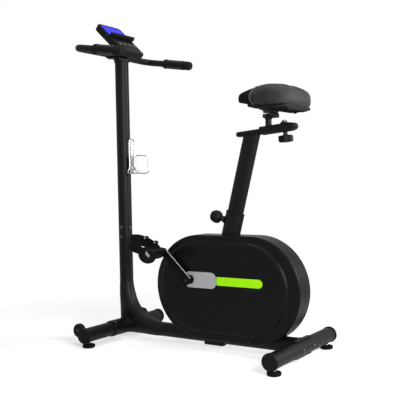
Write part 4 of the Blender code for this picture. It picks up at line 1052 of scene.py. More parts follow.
def makeBarHead():
    h, front = headShape, barShape["front"]
    axis = Vector((upperPost["x"], 0, 0))
    collar = [polar(axis + zAxis * z + xAxis * x, xAxis, yAxis, a, b, 64) for z, x, a, b in h["collar"]]
    top = [polar(consoleAt(h["topDown"], 0, out), -consoleDown, yAxis, a, b, 64) for out, a, b in h["top"]]
    body = loft(collar + top)
    lug = [*h["lug"], *((radius, -along) for radius, along in reversed(h["lug"]))]
    lug = turned(front, yAxis, lug, 56, looped=True)
    half, (low, high), corner = h["neckHalf"], h["neckZ"], Vector(h["slitCorner"])
    neck = boxed((axis.x, -half, low), (front.x - 0.004, half, high), 0.004)
    slit = boxed(front + Vector((0.015, -corner.y, -corner.z)), front + corner, 0.001)
    bolts, rings = [], []
    for y in (-h["lugBoltY"], h["lugBoltY"]):
        spot = front + yAxis * y - zAxis * h["lugBoltDrop"]
        bolts.append(domeBolt(spot, -zAxis, 0.0062, 0.0042))
        rings.append(washer(spot + zAxis * 0.001, -zAxis, 0.0076, 0.003))
    for angle in h["collarBolts"]:
        t = radians(angle)
        out = Vector((cos(t), sin(t), 0))
        bolts.append(domeBolt(axis + zAxis * h["collarBoltZ"] + out * 0.0325, out, 0.0056, 0.0036))
    bead = weldBead(polar(axis + zAxis * 1.2222, xAxis, yAxis, 0.031, 0.031, 60), 0.0012, 0.0018, True)
    piece("barHead", "base", [
        ([body, lug, neck, slit, bead], "powderCoat"), (bolts + rings, "blackBolt"),
    ], "frame_paint", ["bar_head"], sharp=48)


def makeHandlebar():
    b = barShape
    left = [b["end"], b["corner"], b["front"] + yAxis * 0.03]
    corners = left + [acrossBike @ point for point in reversed(left)]
    path = [corners[0]]
    path += filleted(corners[:3], b["bend"], 18)[1:-1] + corners[2:4]
    path += filleted(corners[3:], b["bend"], 18)[1:-1] + [corners[-1]]
    tube = swept(path, roundSection(b["radius"], 48))
    piece("handlebarTube", "base", [(tube, "powderCoat")], "frame_paint", ["handlebar"], sharp=50)


gripShape = {
    # along from the bar's end: distance, half width, half height
    "rings": mm((
        (-6, 10.5, 11.5), (-5.2, 14, 15), (-3, 16.2, 17.2), (1, 17.6, 18.6), (6, 18.3, 19.4),
        (25, 18.5, 19.8), (25.5, 18, 19.2), (26.8, 18, 19.2), (27.3, 18.5, 19.8), (80, 18.6, 20),
        (133, 18.6, 20.2), (133.8, 18, 19.6), (135, 18, 19.6), (135.8, 19.2, 21.5), (143, 19, 21.2),
        (146.2, 17.8, 19.2), (148, 15, 16),
    )),
    "bore": 0.0142, "plate": (0.036, 0.126), "plateSpread": 60, "plateRadii": (0.0186, 0.02),
    "stopAt": 0.119, "stopLong": 0.024, "stopHalf": 0.0105, "stopHeight": 0.0048,
}


def makeGrip(label, side):
    g = gripShape
    end, corner = barShape["end"], barShape["corner"]
    way = (corner - end).normalized()
    top = (zAxis - way * way.z).normalized()
    across = way.cross(top)
    bore = g["bore"]
    inner = [polar(end + way * t, across, top, bore, bore, 48) for t in (g["rings"][-1][0], 0.012)]
    body = loft([polar(end + way * t, across, top, a, b, 48) for t, a, b in g["rings"]] + inner)
    start, stretch = g["plate"][0], g["plate"][1] - g["plate"][0]
    wide, tall = g["plateRadii"]
    plates = []
    for middle in (90, 270):
        rings = []
        for step in range(19):
            t = step / 18
            spot = end + way * (start + stretch * t)
            spread = radians(g["plateSpread"]) * min(1.0, 0.84 + 2.2 * min(t, 1 - t))
            row = []
            for lift, turnBack in ((0.0007, 1), (-0.001, -1)):
                for k in range(17):
                    a = radians(middle) + spread * (k / 8 - 1) * turnBack
                    reach = across * ((wide + lift) * cos(a)) + top * ((tall + lift) * sin(a))
                    row.append(spot + reach)
            rings.append(row)
        plates.append(loft(rings))
    stop = []
    for step in range(13):
        bulge = sin(pi * (0.06 + 0.88 * step / 12)) ** 0.5
        spot = end + way * (g["stopAt"] + g["stopLong"] * step / 12) + top * 0.0172
        half, tall = g["stopHalf"] * bulge, g["stopHeight"] * bulge
        stop.append(squircle(spot, across, top, half, tall, [0.8] * 4, 24))
    parts = [(body, "foamGrip"), (plates, "pulsePlate"), (loft(stop), "mouldedPlastic")]
    piece("grip", "base", parts, "rubber", ["grip"], label, sharp=55, place=sidePlace[side])


makeUpperPost()
makeBarHead()
makeHandlebar()
for label, side in bothSides:
    makeGrip(label, side)
print("post, handlebar and grips")


# the console: housing, display, ledge and keys

consoleShape = {
    "length": 0.199, "width": 0.148, "thick": 0.0335, "corner": 0.014,
    "lensDown": 0.047, "lensHalf": (0.034, 0.063), "ledgeDown": 0.096, "keyDown": 0.142,
    "keyPitch": 0.03, "keyRadius": 0.01, "panelDown": 0.1405, "panelHalf": (0.03, 0.06),
    "screwDown": (0.02, 0.168), "screwSide": 0.055, "digitTall": 0.0155, "digitWide": 0.0078,
    "ribs": 7, "ribDown": 0.04, "ribPitch": 0.008, "marks": 12, "markDown": 0.0465, "markPitch": 0.0091,
    # the zeros: distance down, and places to the side
    "digits": mm(((30, (48, 36, 20, 8, -22, -34, -46)), (62, (48, 36, 24, -10, -22, -34, -46)))),
}


def consoleRing(out, grow):
    c = consoleShape
    middle, half = c["length"] / 2, c["width"] / 2
    spot = consoleAt(middle, 0, out)
    return roundRect(spot, consoleDown, yAxis, middle + grow, half + grow, c["corner"], 10)


def segmentBar(down, side, long, wide, alongDown):
    # one bar of a figure: a long hexagon a hair proud of the glass
    a, b = long / 2, wide / 2
    ring = []
    for p, q in ((-a, 0), (-a + b, b), (a - b, b), (a, 0), (a - b, -b), (-a + b, -b)):
        d, s = (p, q) if alongDown else (q, p)
        ring.append(consoleAt(down + d, side + s, -0.0006))
    return prism(ring, consoleOut, 0, 0.00012)


def plainZero(down, side, tall, wide):
    # a zero as a display draws it, in six bars
    a, b, thick = tall / 2, wide / 2, tall * 0.11
    bars = ((-a, 0), (-a / 2, -b), (a / 2, -b), (a, 0), (a / 2, b), (-a / 2, b))
    return [
        segmentBar(down + d, side + s, (a if s else wide) - thick * 0.35, thick, bool(s)) for d, s in bars
    ]


def makeConsole():
    c = consoleShape
    thick, r = c["thick"], c["keyRadius"]
    # distance out of the face, growth of the outline
    rows = mm([(0, -8.5), (0.6, -6.2), (2.4, -3), (6, -0.6)])
    rows = [(-thick + out, grow) for out, grow in rows]
    rows += mm([(-17, 0), (-16.6, -0.6), (-15.8, -0.6), (-15.4, 0), (-5, 0)])
    rows += mm([(-2.6, -0.5), (-1, -1.8), (-0.2, -3.6), (0, -6)])
    body = loft([consoleRing(out, grow) for out, grow in rows])
    lensTall, lensWide = c["lensHalf"]
    window = roundRect(consoleAt(c["lensDown"]), consoleDown, yAxis, lensTall, lensWide, 0.006, 8)
    tools = [prism(window, consoleOut, -0.003, 0.01)]
    panel = roundRect(consoleAt(c["panelDown"]), consoleDown, yAxis, *c["panelHalf"], 0.012, 8)
    tools.append(prism(panel, consoleOut, -0.0008, 0.01))
    spots = [consoleAt(c["keyDown"], (1.5 - k) * c["keyPitch"]) for k in range(4)]
    for spot in spots:
        tools.append(rod(spot, consoleOut, r + 0.0004, -0.009, 0.01, 48))
    body = carved(body, tools)
    bezel = []
    for out, grow in mm(((-0.8, 0), (0.7, 0.2), (1, 1.2), (0.8, 2.6), (-0.8, 3))):
        tall, wide, corner = lensTall + grow, lensWide + grow, 0.0065 + grow
        bezel.append(roundRect(consoleAt(c["lensDown"], 0, out), consoleDown, yAxis, tall, wide, corner, 8))
    bezel = loft(bezel, looped=True)
    screws = []
    for down in c["screwDown"]:
        for side in (c["screwSide"], -c["screwSide"]):
            spot = consoleAt(down, side, -thick + 0.0003)
            screws.append(domeBolt(spot, -consoleOut, 0.0042, 0.0018, "cross"))
    ribs = []
    for k in range(c["ribs"]):
        low = consoleAt(c["ribDown"] + c["ribPitch"] * k, 0, -thick - 0.0004)
        ring = roundRect(low, consoleDown, yAxis, 0.0012, 0.03, 0.0011, 3)
        ribs.append(prism(ring, consoleOut, -0.0006, 0.002))
    piece("consoleHousing", "base", [
        (body, "mouldedPlastic"), (bezel, "glossBezel"), (screws, "blackBolt"), (ribs, "mouldedPlastic"),
    ], "shell_plastic", ["console"], sharp=40)
    makeDisplay()
    makeLedge()
    for k, spot in enumerate(spots):
        key = turned(spot, consoleOut, [
            (r, -0.006), (r, 0.0006), (r - 0.0004, 0.0014), (r - 0.0014, 0.0021), (r - 0.0028, 0.0023),
            (r - 0.005, 0.0019), (0.0012, 0.0016),
        ], 56)
        parts, node = [(key, "buttonGrey")], f"button_{k + 1}"
        piece(f"key{k + 1}", f"key_{k + 1}", parts, "silver_trim", [node], sharp=50)


def makeDisplay():
    c = consoleShape
    tall, wide = (half - 0.0004 for half in c["lensHalf"])
    glass = roundRect(consoleAt(c["lensDown"]), consoleDown, yAxis, tall, wide, 0.0058, 8)
    pane = eased(prism(glass, consoleOut, -0.0027, -0.0006), 0.0003, 2, 60)
    lit = []
    for down, sides in c["digits"]:
        for side in sides:
            lit += plainZero(down, side, c["digitTall"], c["digitWide"])
    for down in (0.0265, 0.0335):
        lit.append(segmentBar(down, 0.028, 0.0022, 0.0016, True))
    for k in range(c["marks"]):
        lit.append(segmentBar(c["markDown"], 0.05 - k * c["markPitch"], 0.0066, 0.0022, False))
    parts = [(pane, "displayGlass"), (lit, "displayDigit")]
    piece("consoleDisplay", "base", parts, "lens_blue", ["console_lens"], sharp=40)


def makeLedge():
    c = consoleShape
    shelf = mm([(-4, 0.3), (6.2, 0.3), (6.6, 10), (5.2, 16.5), (2.2, 20.3)])
    shelf += mm([(-1.8, 20.3), (-3, 18), (-4, 12)])
    end = c["width"] / 2 + 0.003
    ledge = loft([[consoleAt(c["ledgeDown"] + a, y, b) for a, b in shelf] for y in (-end, end)])
    ledge = eased(ledge, 0.0009, 3)
    pad = roundRect(consoleAt(c["ledgeDown"] - 0.0041, 0, 0.0098), consoleOut, yAxis, 0.006, 0.066, 0.002, 4)
    parts = [(ledge, "mouldedPlastic"), (prism(pad, consoleDown, -0.0008, 0.0006), "softRubber")]
    piece("tabletLedge", "base", parts, "shell_plastic", ["tablet_ledge"], sharp=40)


makeConsole()
print("console")


# the bottle cage of bright bent wire

cageShape = {
    "wire": 0.0025, "back": 0.3395, "outer": 0.272, "lip": 0.2873, "halfBack": 0.017, "halfOut": 0.0332,
    "halfLip": 0.0396, "low": 0.731, "middle": 0.76, "backTop": 0.88, "outTop": 0.808, "bend": 0.0125,
    "screwZ": (0.7545, 0.799), "weldZ": (0.765, 0.79),
    # holder, tail and shelf: from and to along x behind the wire's plane, half width, low, high, edge
    "plates": mm((
        (-1.2, 2.2, 19, 746, 808, 1.1), (-1, 2, 11, 729, 748, 0.9), (-36, 1, 10.5, 729.3, 731.7, 0.9),
    )),
}


def makeCage():
    c = cageShape
    back, outer, a, b = c["back"], c["outer"], c["halfBack"], c["halfOut"]
    lip, wide = c["lip"], c["halfLip"]
    corners = [Vector(p) for p in (
        (back, a, c["middle"]), (back, a, c["backTop"]), (back, -a, c["backTop"]), (back, -a, c["middle"]),
        (back, -b, c["low"]), (outer, -b, c["low"]), (lip, -wide, c["outTop"]), (lip, wide, c["outTop"]),
        (outer, b, c["low"]), (back, b, c["low"]),
    )]
    wire = swept(filleted(corners, c["bend"], 7, looped=True), roundSection(c["wire"], 16), looped=True)
    holder, tail, shelf = (
        boxed((back + near, -half, low), (back + far, half, high), ease)
        for near, far, half, low, high, ease in c["plates"]
    )
    slots = []
    for z in c["screwZ"]:
        slots.append(turned(Vector((back, 0, z)), xAxis, [(0.003, -0.01), (0.003, 0.01)], 20))
    holder = carved(holder, slots)
    pads, screws, beads = [], [], []
    face = upperPost["x"] - upperPost["radius"]
    for z in c["screwZ"]:
        pads.append(rod(Vector((back + 0.002, 0, z)), xAxis, 0.0068, 0, face - back + 0.0006, 32))
        screws.append(domeBolt(Vector((back - 0.001, 0, z)), -xAxis, 0.0046, 0.0026, "cross"))
    for side in (-1, 1):
        for z in c["weldZ"]:
            spot = Vector((back, side * (a + 0.0002), z))
            beads.append(weldBead([spot - zAxis * 0.004, spot + zAxis * 0.004], 0.0014, 0.0016))
    piece("bottleCage", "base", [
        ([wire, holder, tail, shelf, *beads], "chromeWire"), (pads, "softRubber"), (screws, "zincBolt"),
    ], "chrome_wire", ["bottle_cage"], sharp=45)


makeCage()
print("bottle cage")


# what slides in the seat tube, and the slide that carries the saddle

seatShape = {
    "long": 0.0355, "wide": 0.019, "foot": -0.135, "top": 0.28, "wall": 0.002, "holePitch": 0.04,
    "barHalf": 0.018, "barUp": 0.01, "barLength": 0.2525,
    "carriageFrom": 0.109, "carriageTo": 0.24, "carriageHalf": 0.0225, "carriageUp": 0.0155,
    "carriageMid": 0.001, "carriageBore": (0.0184, 0.0104), "stubAft": 0.141, "stubTop": 0.94,
    "stubRadius": 0.0122, "stubFoot": 0.0135, "clampAft": 0.21,
    "knobRadius": 0.029, "knobLobes": 6, "knobLobeDepth": 0.0052,
}
slideTilt = radians(4.5)
slideFore, slideUp = tiltedAxes(-slideTilt)
aft = -slideFore
slideNose = Vector((-0.2023, 0, 0.871))
tiltPin = Vector((-0.3663, 0, 0.9425))


def slideAt(back, up=0.0, side=0.0):
    return slideNose + aft * back + slideUp * up + yAxis * side


def underSlide(point, drop):
    # the point moved along the post to this distance under the slide's middle line
    gap = slideUp.dot(slideAt(0, -drop) - point)
    return point + seatUp * (gap / slideUp.dot(seatUp))


def makeSeatPost():
    s = seatShape
    long, wide = s["long"], s["wide"]
    head = [underSlide(p, 0.0088) for p in ovalRing(seatAt(s["top"]), long, wide, 72)]
    post = loft([
        ovalRing(seatAt(s["foot"]), long - s["wall"], wide - s["wall"], 72),
        ovalRing(seatAt(s["foot"]), long - 0.0005, wide - 0.0005, 72),
        ovalRing(seatAt(s["foot"] + 0.0006), long, wide, 72), head,
    ])
    holes = []
    for k in range(-1, 5):
        spot = seatAt(s["holePitch"] * k - lowFrame["pinDrop"])
        holes.append(turned(spot, seatFore, mm([(5.5, 20), (5.5, 34.5), (6.8, 36.2)]), 28))
    post = carved(post, holes)
    half, up, length = s["barHalf"], s["barUp"], s["barLength"]
    # distance back along the slide, half width, half height
    rows = [
        (0.0, 0.0105, 0.003), (0.0006, 0.013, 0.0055), (0.0022, 0.0156, 0.0078), (0.005, 0.0174, 0.0093),
        (0.0085, half, up), (length - 0.001, half, up), (length, half - 0.001, up - 0.001),
    ]
    bar = loft([roundRect(slideAt(at), yAxis, slideUp, a, b, min(0.0062, b * 0.9), 7) for at, a, b in rows])
    # the fold lines along both sides of the slide's nose
    creases = []
    for side in (1, -1):
        crease = [slideAt(back, -0.0002, side * 0.0181) for back in (0.012, 0.03, 0.06, 0.1)]
        section = [(0.0004 * a, 0.0016 * b) for a, b in ((-1, -1), (1, -1), (1, 1), (-1, 1))]
        creases.append(swept(crease, section))
    seam = ovalRing(seatAt(s["top"]), long + 0.0006, wide + 0.0006, 64)
    seam = [underSlide(p, 0.0098) for p in seam]
    bead = weldBead(seam, 0.002, 0.0024, looped=True)
    parts = [([post, bar, bead, *creases], "powderCoat")]
    piece("seatPostTube", "seat", parts, "frame_paint", ["seat_post"], sharp=42)


def makeBushing():
    s = seatShape
    long, wide = s["long"], s["wide"]
    # distance up the post, growth round it
    rows = mm([(-20, 2.5), (0.3, 2.5), (0.3, 6), (0.6, 6.2), (3, 6.2)])
    rows += mm([(4, 5.6), (4.5, 4.2), (4.5, 1.2), (3.6, 0.3), (-20, 0.3)])
    ring = loft([ovalRing(seatAt(up), long + grow, wide + grow, 72) for up, grow in rows], looped=True)
    piece("seatBushing", "base", [(ring, "mouldedPlastic")], "rubber", ["seat_bushing"], sharp=45)


pinShape = {
    # radius and distance from the post's axis
    "stem": mm(((5, 35.8), (6, 38.5), (6, 60))),
    "neck": mm(((7, 49), (10.5, 49.5), (11.2, 51), (11.2, 58), (10.2, 59), (7, 59.2))),
    "knob": mm((
        (11, 58.5), (12.8, 59.2), (15, 61.2), (20.5, 65), (24, 69), (25.8, 74), (26.4, 80), (26.2, 86),
        (25, 92), (22.6, 97.5), (18.5, 102.5), (13, 106), (6, 107.7), (1, 108),
    )),
    "disc": mm(((8.5, 106.2), (8.5, 107.9), (7, 108.4), (1, 108.5))),
    "flutes": 8, "fluteDepth": 0.0022,
}


def makePopPin():
    p, base = pinShape, seatAt(-lowFrame["pinDrop"])
    steps = {"stem": 28, "neck": 36, "disc": 40}
    stem, neck, disc = (turned(base, seatFore, p[part], count) for part, count in steps.items())
    knob = turned(base, seatFore, p["knob"], 96, lobes=(p["flutes"], p["fluteDepth"], 3, 9))
    parts = [(stem, "zincBolt"), ([neck, knob, disc], "mouldedPlastic")]
    piece("popPin", "height_pin", parts, "rubber", ["pop_pin"], sharp=45)


def makeCarriage():
    s = seatShape
    low, high, mid = s["carriageFrom"], s["carriageTo"], s["carriageMid"]
    half, up = s["carriageHalf"], s["carriageUp"]

    def ring(back, grow, corner=0.0055):
        return roundRect(slideAt(back, mid), yAxis, slideUp, half + grow, up + grow, corner, 7)

    def bore(back, grow=0.0):
        wide, tall = s["carriageBore"]
        return roundRect(slideAt(back), yAxis, slideUp, wide + grow, tall + grow, 0.005, 7)

    sleeve = loft([
        ring(low, -0.0012), ring(low + 0.0009, -0.0002), ring(low + 0.0016, 0), ring(high - 0.0004, 0),
        ring(high, -0.0005), bore(high), bore(low + 0.0008), bore(low, 0.0008),
    ], looped=True)
    # the slit along its underside, closed where the knob screws in
    gap = mm([(-25, -8.5), (-25, 8.5), (-9.5, 8.5), (-9.5, -8.5)])
    gap = [slideAt(0, *corner) for corner in gap]
    spans = ((low - 0.01, s["clampAft"] - 0.014), (s["clampAft"] + 0.014, high + 0.01))
    sleeve = carved(sleeve, [prism(gap, aft, *span) for span in spans])
    lips = []
    for side in (1, -1):
        edge = [slideAt(back, -up + mid + 0.0006, side * 0.0093) for back in (low + 0.003, high - 0.003)]
        lips.append(swept(edge, roundSection(0.0016, 14)))
        for lift in (0.0052, -0.0046):
            bead = [slideAt(back, mid + lift, side * (half - 0.0002)) for back in (low + 0.004, high - 0.003)]
            lips.append(swept(bead, roundSection(0.0009, 12)))
    foot = slideAt(s["stubAft"], s["stubFoot"])
    axis, r, end = Vector((foot.x, 0, 0)), s["stubRadius"], s["stubTop"]
    stub = turned(axis, zAxis, [(r, foot.z - 0.002), (r, end - 0.0008), (r - 0.001, end)], 56)
    level = slideAt(s["stubAft"], up + mid + 0.0003)
    seam = []
    for p in polar(axis, xAxis, yAxis, r + 0.0008, r + 0.0008, 48):
        seam.append(Vector((p.x, p.y, level.z + (level.x - p.x) * tan(slideTilt))))
    bead = weldBead(seam, 0.0019, 0.0023, looped=True)
    clamp = slideAt(s["clampAft"])
    boss = turned(clamp, -slideUp, mm([
        (5, 12.5), (9.4, 12.5), (9.4, 16), (8.5, 17.2), (8.5, 20.5), (5, 20.5),
    ]), 40, looped=True)
    pad = loft([
        roundRect(clamp + slideUp * lift, aft, yAxis, 0.01 + grow, 0.019 + grow, 0.0035, 6)
        for lift, grow in mm(((15, 0), (20, 0), (21.2, -1), (21.6, -2.4)))
    ])
    top = clamp + slideUp * 0.0212
    ring = washer(top + slideUp * 0.0004, slideUp, 0.0108, 0.003)
    nut = hexNut(top + slideUp * 0.0014, slideUp, 0.019, 0.005)
    parts = [([sleeve, stub, bead, boss, pad, *lips], "powderCoat"), ([ring, *nut], "blackBolt")]
    piece("seatCarriage", "carriage", parts, "frame_paint", ["seat_carriage"], sharp=42)


# distance behind the carriage, half width, half height, corner; the first two rows plug its bore
carriageTail = mm((
    (-11, 18.6, 10.6, 4), (0, 18.6, 10.6, 4), (0, 22.2, 14.6, 5.5), (4, 22.2, 14.4, 6.5),
    (8, 21.6, 13.6, 8), (12, 20.4, 12.4, 8.5), (15.5, 18.4, 10.6, 8.5), (18.5, 15.6, 8.4, 7.5),
    (20.5, 12, 6, 5.5), (21.7, 7.8, 3.6, 3.4), (22.1, 3.5, 1.6, 1.5),
))


def makeCarriageCap():
    rings, end = [], seatShape["carriageTo"] + 0.0003
    for row, (back, *size) in enumerate(carriageTail):
        lift = seatShape["carriageMid"] if row > 1 else 0.0
        rings.append(roundRect(slideAt(end + back, lift), yAxis, slideUp, *size, 7))
    piece("carriageCap", "carriage", [(loft(rings), "mouldedPlastic")], "rubber", ["carriage_cap"], sharp=50)


def makeSlideKnob():
    s = seatShape
    hub = slideAt(s["clampAft"])
    down = -slideUp
    stem = rod(hub, down, 0.005, 0.0103, 0.023, 24)
    neck = mm([(7, 21.2), (8.8, 21.4), (9, 22), (9, 30), (7, 30.5)])
    neck = turned(hub, down, neck, 40)
    r = s["knobRadius"]
    rows = [(0.01, 0.0292), (0.023, 0.0293), (0.0268, 0.0298), (0.0284, 0.0312), (r, 0.0335), (r, 0.049)]
    rows += mm([(28.4, 51.5), (26.6, 53.3), (24, 54.4), (16, 54.8), (15, 54)])
    rows += [(0.001, 0.054)]
    knob = turned(hub, down, rows, 144, lobes=(s["knobLobes"], s["knobLobeDepth"], 2, 8))
    parts = [(stem, "zincBolt"), ([neck, knob], "mouldedPlastic")]
    piece("slideKnob", "carriage_screw", parts, "rubber", ["slide_knob"], sharp=50)


clampShape = {
    "x": (-0.3778, -0.3278), "half": 0.0225, "cheek": 0.004, "below": 0.0135, "above": 0.0015,
    "opening": 0.007, "cheekRadius": 0.0085, "ribs": 3, "ribPitch": 0.0052,
}


def makeSaddleClamp():
    c = clampShape
    (x0, x1), half = c["x"], c["half"]
    slot = half - c["cheek"]
    low, top = tiltPin.z - c["below"], tiltPin.z + c["above"]
    block = boxed((x0, -half, low), (x1, half, top), 0.0028)
    opening, cheekEnd = c["opening"], c["cheekRadius"]
    well = arcPoints(tiltPin.x, tiltPin.z, opening, 180, 360, 14)
    well += [(tiltPin.x + opening, tiltPin.z + 0.02), (tiltPin.x - opening, tiltPin.z + 0.02)]
    stub = Vector((slideAt(seatShape["stubAft"], seatShape["stubFoot"]).x, 0, 0))
    bore = rod(stub, zAxis, 0.0113, 0.92, seatShape["stubTop"] + 0.0003, 40)
    block = carved(block, [plate(well, -slot, slot), bore])
    cheeks, nuts = [], []
    outline = [(tiltPin.x + cheekEnd, low + 0.003), *arcPoints(tiltPin.x, tiltPin.z, cheekEnd, 0, 180, 18)]
    outline.append((tiltPin.x - cheekEnd, low + 0.003))
    for side in (-1, 1):
        ends = sorted((side * slot, side * (half - 0.0002)))
        cheek = plate(outline, *ends, 0.0008)
        cheeks.append(carved(cheek, [rod(tiltPin, yAxis, 0.0041, -0.05, 0.05, 24)]))
        lug = Vector((x1 - 0.0125, side * half, low + 0.0068))
        cheeks.append(turned(lug, yAxis * side, mm([(6.2, -4), (6.2, 0.6), (5.2, 1.4)]), 24))
        nuts += hexNut(lug + yAxis * side * 0.0012, yAxis * side, 0.009, 0.0034)
    ribs = []
    for k in range(c["ribs"]):
        x = x0 + 0.0235 + c["ribPitch"] * k
        ribs.append(boxed((x, -half - 0.0008, low + 0.002), (x + 0.002, half + 0.0008, top - 0.003), 0.0006))
    collar = mm([(11.4, -4), (14.2, -4), (15, -3), (15, 3), (11.4, 3)])
    collar = turned(stub, zAxis, [(radius, low + up) for radius, up in collar], 40, looped=True)
    parts = [([block, *cheeks, *ribs, collar], "coarsePlastic"), (nuts, "blackBolt")]
    piece("saddleClamp", "carriage", parts, "frame_paint", ["saddle_clamp"], sharp=40)


makeSeatPost()
makeBushing()
makePopPin()
makeCarriage()
makeCarriageCap()
makeSlideKnob()
makeSaddleClamp()
print("seat post and slide")


# the saddle: a cover puffed up by a cloth simulation, then seamed, piped and stitched

saddleShape = {
    # x, half width, lowest, highest, depth of the middle groove
    "rows": mm((
        (-488.5, 50, 984, 1006, 0), (-484, 86, 970, 1023, 2), (-469, 113, 959.5, 1037, 6),
        (-442, 125, 957.5, 1046, 9), (-407, 123, 957.5, 1052, 10), (-372, 110, 959, 1055.5, 9),
        (-337, 87, 964, 1055, 6), (-302, 64, 972, 1051.5, 3), (-267, 47, 981, 1046, 1),
        (-237, 38, 989, 1038, 0), (-222.5, 30, 991.5, 1031, 0), (-217, 18, 996, 1021, 0),
    )),
    "powers": (0.62, 0.72, 0.4, 0.46), "grooveWidth": 0.022, "shrink": 0.003, "voxel": 0.0042,
    "pressure": 4, "frames": 20, "mostSwell": 0.0065, "settle": 0.55,
    "seamX": -0.306, "seamBow": 0.015, "seamZ": 1.012, "seamTall": 0.032, "seamSteps": 120,
    "channelFrom": -0.3, "channelLong": 0.162, "channelSteps": 69,
    "channelDepth": 0.0022, "channelWidth": 0.0034,
    "piping": 0.0026, "stitchPitch": 0.0046, "stitchLong": 0.003, "stitchOff": 0.0042, "middle": 1.01,
}


def between(rows, at):
    # a smooth curve through the rows, at is a row number with a fraction
    low = min(int(at), len(rows) - 2)
    t = at - low
    p = [rows[min(max(low + k, 0), len(rows) - 1)] for k in (-1, 0, 1, 2)]
    return [
        b + 0.5 * t * (c - a + t * (2 * a - 5 * b + 4 * c - d + t * (3 * (b - c) + d - a)))
        for a, b, c, d in zip(*p)
    ]


def saddleBlank():
    # the saddle before it is puffed up, a little smaller all round
    s = saddleShape
    rings = []
    steps = 55
    for k in range(steps + 1):
        x, half, low, top, groove = between(s["rows"], (len(s["rows"]) - 1) * k / steps)
        middle, tall = (low + top) / 2, (top - low) / 2
        ring = squircle(Vector((x, 0, middle)), yAxis, zAxis, half, tall, s["powers"], 72)
        for p in ring:
            if p.z > middle:
                p.z -= groove * exp(-((p.y / s["grooveWidth"]) ** 2))
        rings.append(ring)
    blank = loft(rings)
    blank.normal_update()
    for vert in blank.verts:
        vert.co -= vert.normal * s["shrink"]
    return blank


def puffed(blank):
    # air under the cover: a cloth held along its underside, its swelling limited
    s = saddleShape
    obj = asObject(remeshed(blank, s["voxel"]), "puffing")
    mesh = obj.data
    start = np.array([v.co for v in mesh.vertices], float)
    end = start + np.array([v.normal for v in mesh.vertices], float) * s["shrink"]
    glued = obj.vertex_groups.new(name="glued")
    glued.add([v.index for v in mesh.vertices if v.normal.z < -0.55], 1.0, "ADD")
    cloth = obj.modifiers.new("puff", "CLOTH").settings
    cloth.quality = 5
    cloth.mass = 0.35
    cloth.tension_stiffness = cloth.compression_stiffness = 12
    cloth.bending_stiffness = 0.6
    cloth.use_pressure = True
    cloth.uniform_pressure_force = s["pressure"]
    cloth.effector_weights.gravity = 0
    cloth.vertex_group_mass = "glued"
    for number in range(1, s["frames"] + 1):
        scene.frame_set(number)
    swollen = obj.evaluated_get(bpy.context.evaluated_depsgraph_get()).to_mesh()
    end = np.array([v.co for v in swollen.vertices], float)
    scene.frame_set(1)
    obj.modifiers.clear()
    move = end - start
    length = np.linalg.norm(move, axis=1)[:, None]
    move *= np.minimum(1, s["mostSwell"] / np.maximum(length, 1e-9))
    for vert, point in zip(mesh.vertices, start + move):
        vert.co = point
    smooth = obj.modifiers.new("settle", "SMOOTH")
    smooth.factor, smooth.iterations = s["settle"], 4
    finer = obj.modifiers.new("finer", "SUBSURF")
    finer.levels = 1
    return baked(obj)


def seamAt(x, z):
    # how far ahead of the seam between the nose cap and the main cover a point is
    s = saddleShape
    lift = (z - s["seamZ"]) / s["seamTall"]
    return x - (s["seamX"] + s["seamBow"] * (1 - lift * lift))


def onCover(tree, x, angle):
    # the cover's point and normal in this direction from the middle of the saddle
    out = Vector((0, cos(angle), sin(angle)))
    return tree.ray_cast(Vector((x, 0, saddleShape["middle"])), out)[:2]


def stitches(row):
    # row: (point, normal) along the thread; every few millimetres a stitch
    long = saddleShape["stitchLong"]
    profile = [(0.0002, 0), (0.00042, 0.0005), (0.0005, long / 2), (0.00042, long - 0.0005), (0.0002, long)]
    shapes = []
    run = 0.0
    for (a, normal), (b, _) in zip(row, row[1:] + row[:1]):
        run += (b - a).length
        if run < saddleShape["stitchPitch"]:
            continue
        run = 0.0
        way = (b - a).normalized()
        shapes.append(turned(b - way * long / 2 + normal * 0.00005, way, profile, 8))
    return shapes


def sunk(gap):
    # how deep the cover is pulled in at this distance from a seam
    return saddleShape["channelDepth"] * exp(-((gap / saddleShape["channelWidth"]) ** 2))


def besideSeam(tree, line, shift, followed=False):
    # the points to one side of a line of (point, normal) on the cover, and the cover's normal there
    row = []
    for (p, n), (q, _) in zip(line, line[1:] + line[-1:]):
        side = xAxis - n * n.x
        if followed:
            way = (q - p).normalized() if (q - p).length > 1e-6 else xAxis
            side = way.cross(n)
        hit, normal, _, _ = tree.find_nearest(p + side.normalized() * shift)
        row.append((hit - normal * sunk(shift), normal))
    return row


